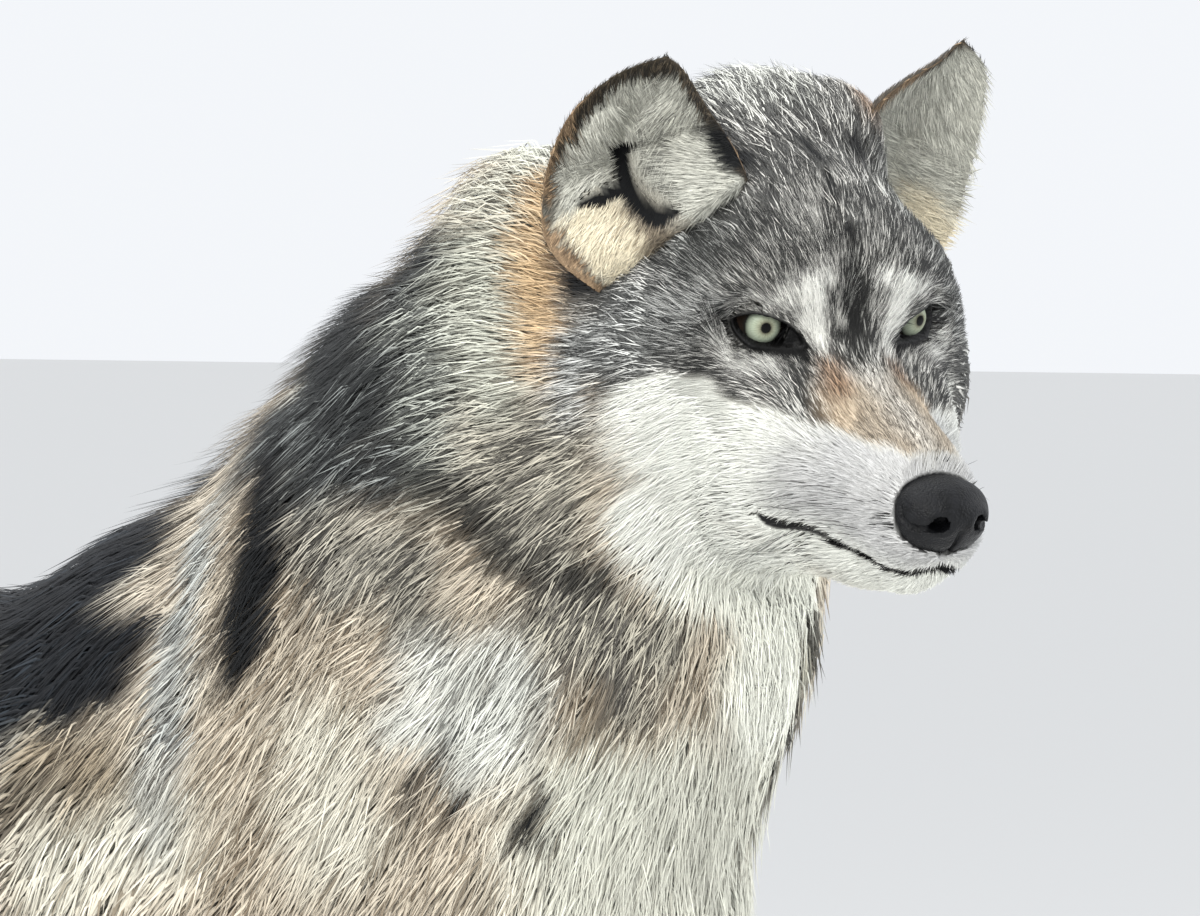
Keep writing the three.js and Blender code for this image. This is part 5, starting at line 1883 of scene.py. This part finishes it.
def grow_coat(points, normals, faces, bare, materials):
    """The tufts of every region, with each region as one piece."""
    middle = points[faces].mean(1)
    _, _, length, width = coat_at(middle)
    names = {
        "spike": region_of(middle, length, SPIKE_LONGEST),
        "lock": region_of(middle, length, LOCK_SHORTEST),
    }
    h = to_head(middle)
    covered = (bare[faces].mean(1) < BAREST) & (nose_pad(h) > 0.2) & (middle[:, 2] > 5)
    for side in (1, -1):
        a, b, w = to_lids(h, side).T
        covered &= ~((outside_lids(a, b) < 1.6) & by_lids(a, b, w))
    corner = [points[faces[:, i]] for i in range(3)]
    area = np.linalg.norm(np.cross(corner[1] - corner[0], corner[2] - corner[0]), axis=1) / 2
    for number, (name, (count, kind, slot, layers)) in enumerate(REGIONS.items()):
        mine = (names[kind] == name) & covered
        random = np.random.default_rng(SEED * 100 + number)
        weight = 1 / (width[mine] * length[mine])
        needed = (area[mine] * weight).sum() * 2 * layers
        root, normal, _ = scatter(points, normals, faces[mine], weight, count, random)
        way, deep, long, wide = coat_at(root)
        wide = wide * min(max(needed / count, THINNEST), WIDEST)
        if kind == "spike":
            deep, long = deep * np.minimum(1, SPIKE_CUT / long), np.minimum(long, SPIKE_CUT)
        make = locks if kind == "lock" else spikes
        made = make(root, normal, way, deep, long, wide, random)
        add_tufts(name, made, root_map(name, root), slot, materials[slot])


def ear_marks(side, u, v, front, p):
    """The ear's colours: tan behind with a dark rim, grey-white within, cream at the foot."""
    coat = Coat(len(u))
    wobble = noise(p, 9, 31) * 0.03 + noise(p, 4, 32) * 0.02
    slit = ear_slit(u, v) if side == "right" else np.full(len(u), 99.0)
    u, v = u + wobble, v + wobble
    at = on_leaf(u, v)
    over = lambda alpha, name: coat.over(alpha, HAIR[name])
    over(np.ones(len(u)), "ear tan")
    over(smooth(0.62, 0.78, v), "ear dark")
    over((1 - front) * smooth(0.3, 0.1, u) * smooth(0.2, 0.4, v), "ear dark")
    if side == "right":
        rim = 0.035 + 0.11 * smooth(0.35, 0.85, v)
        over(front * smooth(0.985, 0.97, u), "ear dark")
        inner = front * smooth(1 - rim + 0.02, 1 - rim - 0.03, u) * smooth(0.84, 0.76, v)
        inner = inner * smooth(0.035, 0.075, u - 0.05 * smooth(0.5, 0.8, v))
        over(inner, "ear within")
        greys = [[12, 40, 0, 6], [22, 36, 0, 7], [20, 26, 0, 6], [26, 16, 0, 5]]
        over(inner * spot(at, greys, 6) * 0.8, "ear grey")
        over(inner * smooth(0.62, 0.70, u) * smooth(0.30, 0.24, v), "ear lobe")
        over(inner * spot(at, [[36, 14, 0, 3], [35, 6, 0, 6], [33, 0, 0, 9]], 4), "ear brown")
        # painted shade: brown along the cleft's branches
        cleft_painted_shade = [[33, 30, 0, 1], [32, 16, 0, 3], [28, 10, 0, 2]]
        over(front * spot(at, cleft_painted_shade, 4) * 0.7, "ear brown")
        # painted shade: the cleft between the folds is coloured black
        over(front * smooth(1.3, 0.1, slit), "black")
        edge = front * smooth(0.12, 0.05, u) * smooth(0.10, 0.17, v) * smooth(0.44, 0.34, v)
        over(edge, "black")
    else:
        inner = front * smooth(0.10, 0.20, u) * smooth(0.96, 0.88, v)
        over(front * smooth(0.04, 0.0, u), "ear tan")
        over(inner, "ear within")
        over(inner * smooth(0.34, 0.2, v) * smooth(0.6, 0.8, u), "ear lobe")
    return coat


EAR_TUFTS = {"right": 15000, "left": 9000}
EAR_TUFT_WIDE = 0.62  # mm


def grow_ears(material):
    """Both ears' hair as pieces, and the ears' own leaves, for the skin."""
    leaves = []
    for number, (side, ear) in enumerate(EARS.items()):
        points, faces, u, v = ear_mesh(ear)
        normals = normals_of(points, faces)
        front = np.zeros(len(points))
        front[: len(points) // 2] = 1
        leaves.append((side, points, faces, u, v, front))
        random = np.random.default_rng(SEED * 100 + 50 + number)
        is_front = front[faces].mean(1) > 0.5
        slit = ear_slit(u, v)[faces].mean(1) if side == "right" else 99
        weight = np.where(is_front, 1.5 * (slit > 0.4), 0.8)
        count = EAR_TUFTS[side]
        root, normal, chosen = scatter(points, normals, faces, weight, count, random)
        uu, vv = u[faces[chosen]].mean(1), v[faces[chosen]].mean(1)
        ff = is_front[chosen].astype(float)
        out, up = (unit_rows(way) for way in ear_ways(ear, uu, vv, 0.02))
        # Behind, the hair lies up the ear; inside it fans in from the edges and hangs.
        rise = np.where(ff > 0.5, np.where(vv > 0.45, -0.75, 0.15), 0.9)
        fan = np.where(ff > 0.5, np.where(uu < 0.45, 0.75, -0.6 if side == "right" else 0.8), 0.25)
        way = unit_rows(up * rise[:, None] + out * fan[:, None]) @ HEAD.T
        inner = ff * smooth(0.0, 0.1, uu) * smooth(1.0, 0.94, uu) * smooth(0.96, 0.8, vv)
        if side == "left":
            inner = np.maximum(inner, ff * smooth(0.86, 0.96, uu) * smooth(0.97, 0.85, vv))
        long = 4.5 + 4.0 * inner
        if side == "right":
            long = np.minimum(long, 2.5 + np.maximum(ear_slit(uu, vv), 0) * 0.9)
        deep = 1.1 + 1.5 * inner
        wide = np.full(count, EAR_TUFT_WIDE)
        coat = ear_marks(side, uu, vv, ff, root)
        made = spikes(root, normal, way, deep, long, wide, random, coat)
        chart = np.stack([uu * 0.48 + 0.51 * (1 - ff), vv], 1)
        add_tufts("fur_ear_" + side, made, chart, "ear_coat", material)
    return leaves


# ---- Putting it together ----

SKIN_PAINTED_SHADE = 0.78  # painted shade: the skin is coloured darker than the hair over it
PAST_IRIS = 13  # mm: the "gaze" of the eyeball's back, past the last of the iris


def skin_colours(coat):
    share = coat.share * 0.9
    mixed = coat.pale + (coat.dark - coat.pale) * share[:, None]
    colour = np.ones((len(share), 4))
    # painted shade: the skin takes the coat's colour, darkened
    colour[:, :3] = mixed * SKIN_PAINTED_SHADE
    return colour


def add_skin(points, faces, coat, bare, leaves, flesh):
    """The body's skin and the ears as one piece; "flow" is where its material's noise is read."""
    h = to_head(points)
    near_head = smooth(150, 110, np.linalg.norm(h - [-10, 0, -30], axis=1))[:, None]
    flow = (h * [0.22, 1.1, 1.1]) * near_head + (points * [1, 0.5, 0.35]) * (1 - near_head)
    parts = [(points, skin_colours(coat), bare, flow)]
    all_faces, start = [faces], len(points)
    for side, p, f, u, v, front in leaves:
        colour = skin_colours(ear_marks(side, u, v, front, p))
        parts.append((p, colour, np.zeros(len(p)), to_head(p) * [1.1, 1.1, 0.3]))
        all_faces.append(f + start)
        start += len(p)
    points, colour, bare, flow = (np.concatenate(rows) for rows in zip(*parts))
    piece(
        "skin", points, np.vstack(all_faces), "coat", skin_material(), flesh,
        Col=colour, bare=bare, flow=flow,
    )


def add_nose():
    q, f = net(nose_field, [84, -30, -70], [132, 30, -20], 1.0)
    q = settle(nose_field, q, 2)
    piece("nose_pad", from_head(q), f, "nose_skin", nose_material(), ["nose"], place=q)


def add_eyes():
    wet = eye_material()
    c, s = math.cos(math.radians(GAZE["outward"])), math.sin(math.radians(GAZE["outward"]))
    cu, su = math.cos(math.radians(GAZE["up"])), math.sin(math.radians(GAZE["up"]))
    for side, word in ((1, "left"), (-1, "right")):
        out = np.array([c * cu, s * cu * side, su])
        right = unit(np.cross([0, 0, 1.0], out))
        axes = np.stack([right, np.cross(out, right), out], 1)
        q, f = net(ball([0, 0, 0], [EYE_RADIUS] * 3), [-14] * 3, [14] * 3, 0.9)
        q = unit_rows(q) * EYE_RADIUS
        gaze = q @ axes
        # The cornea swells out over the iris.
        swell = 1.6 * smooth(8.6, 4.5, np.linalg.norm(gaze[:, :2], axis=1)) * (gaze[:, 2] > 0)
        q = q * (1 + swell / EYE_RADIUS * 0.6)[:, None]
        gaze[gaze[:, 2] <= 0] = [PAST_IRIS, PAST_IRIS, -99]
        at = EYE * [1, side, 1]
        piece("eyeball_" + word, from_head(q + at), f, "eye", wet, ["eye_" + word], gaze=gaze)


def build():
    names = list(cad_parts)
    materials = {
        "coat": coat_material("coat_hair", 0.62, 2.6, 0.0004),
        "pale_coat": coat_material("pale_hair", 0.66, 2.2, 0.0003),
        "ear_coat": coat_material("ear_hair", 0.66, 2.2, 0.0003),
    }
    points, faces = skin_mesh()
    normals = normals_of(points, faces)
    coat, bare = markings(points)
    leaves = grow_ears(materials["ear_coat"])
    flesh = [n for n in names if not n.startswith(("eye_", "claw_")) and n != "nose"]
    add_skin(points, faces, coat, bare, leaves, flesh)
    grow_coat(points, normals, faces, bare, materials)
    add_nose()
    add_eyes()

    horn = horn_material()
    for foot in FEET:
        q, f = claws(foot)
        mine = [n for n in names if n.startswith("claw_" + foot)]
        piece("claws_" + foot, q, f, "claw_horn", horn, mine, place=q)

    q, f = whiskers(points, normals, np.random.default_rng(SEED))
    bristle = Material("whisker", Base_Color=(0.012, 0.011, 0.010, 1), Roughness=0.4)
    piece("whiskers", q, f, "coat", bristle.made)


FLOOR_HALF = 40.0  # m
LAMPS_AT = Vector((0, -0.3, 0.75))  # m: what every light points at


def studio():
    """A pale floor, a pale room and soft lights."""
    floor = bpy.data.meshes.new("floor")
    corners = [(x * FLOOR_HALF, y * FLOOR_HALF, 0) for x, y in ((-1, -1), (1, -1), (1, 1), (-1, 1))]
    floor.from_pydata(corners, [], [(0, 1, 2, 3)])
    pale = Material("floor_pale", Base_Color=(0.78, 0.78, 0.77, 1), Roughness=0.9)
    floor.materials.append(pale.made)
    thing = bpy.data.objects.new("floor", floor)
    bpy.context.scene.collection.objects.link(thing)
    thing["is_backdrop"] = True
    world = bpy.data.worlds.new("room")
    world.use_nodes = True
    room = world.node_tree.nodes["Background"].inputs
    room["Color"].default_value, room["Strength"].default_value = (0.82, 0.84, 0.87, 1), 1.1
    bpy.context.scene.world = world
    for name, at, size, power, colour in (
        ("key", (-3.2, -1.6, 3.2), 3.2, 175, (1.0, 0.985, 0.96)),
        ("fill", (2.8, -3.0, 2.2), 3.0, 60, (0.95, 0.97, 1.0)),
        ("top", (0.2, 1.2, 4.0), 3.0, 110, (0.97, 0.98, 1.0)),
    ):
        light = bpy.data.lights.new(name, "AREA")
        light.energy, light.size, light.color = power, size, colour
        lamp = bpy.data.objects.new(name, light)
        bpy.context.scene.collection.objects.link(lamp)
        lamp.location = at
        lamp.rotation_mode = "QUATERNION"
        lamp.rotation_quaternion = (LAMPS_AT - lamp.location).to_track_quat("-Z", "Y")


bpy.context.scene.view_settings.view_transform = "Standard"
camera()
studio()
build()
plain = lambda box: [[float(v) for v in corner] for corner in box]
{"cad": plain(cad_box), "visual": plain(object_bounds())}
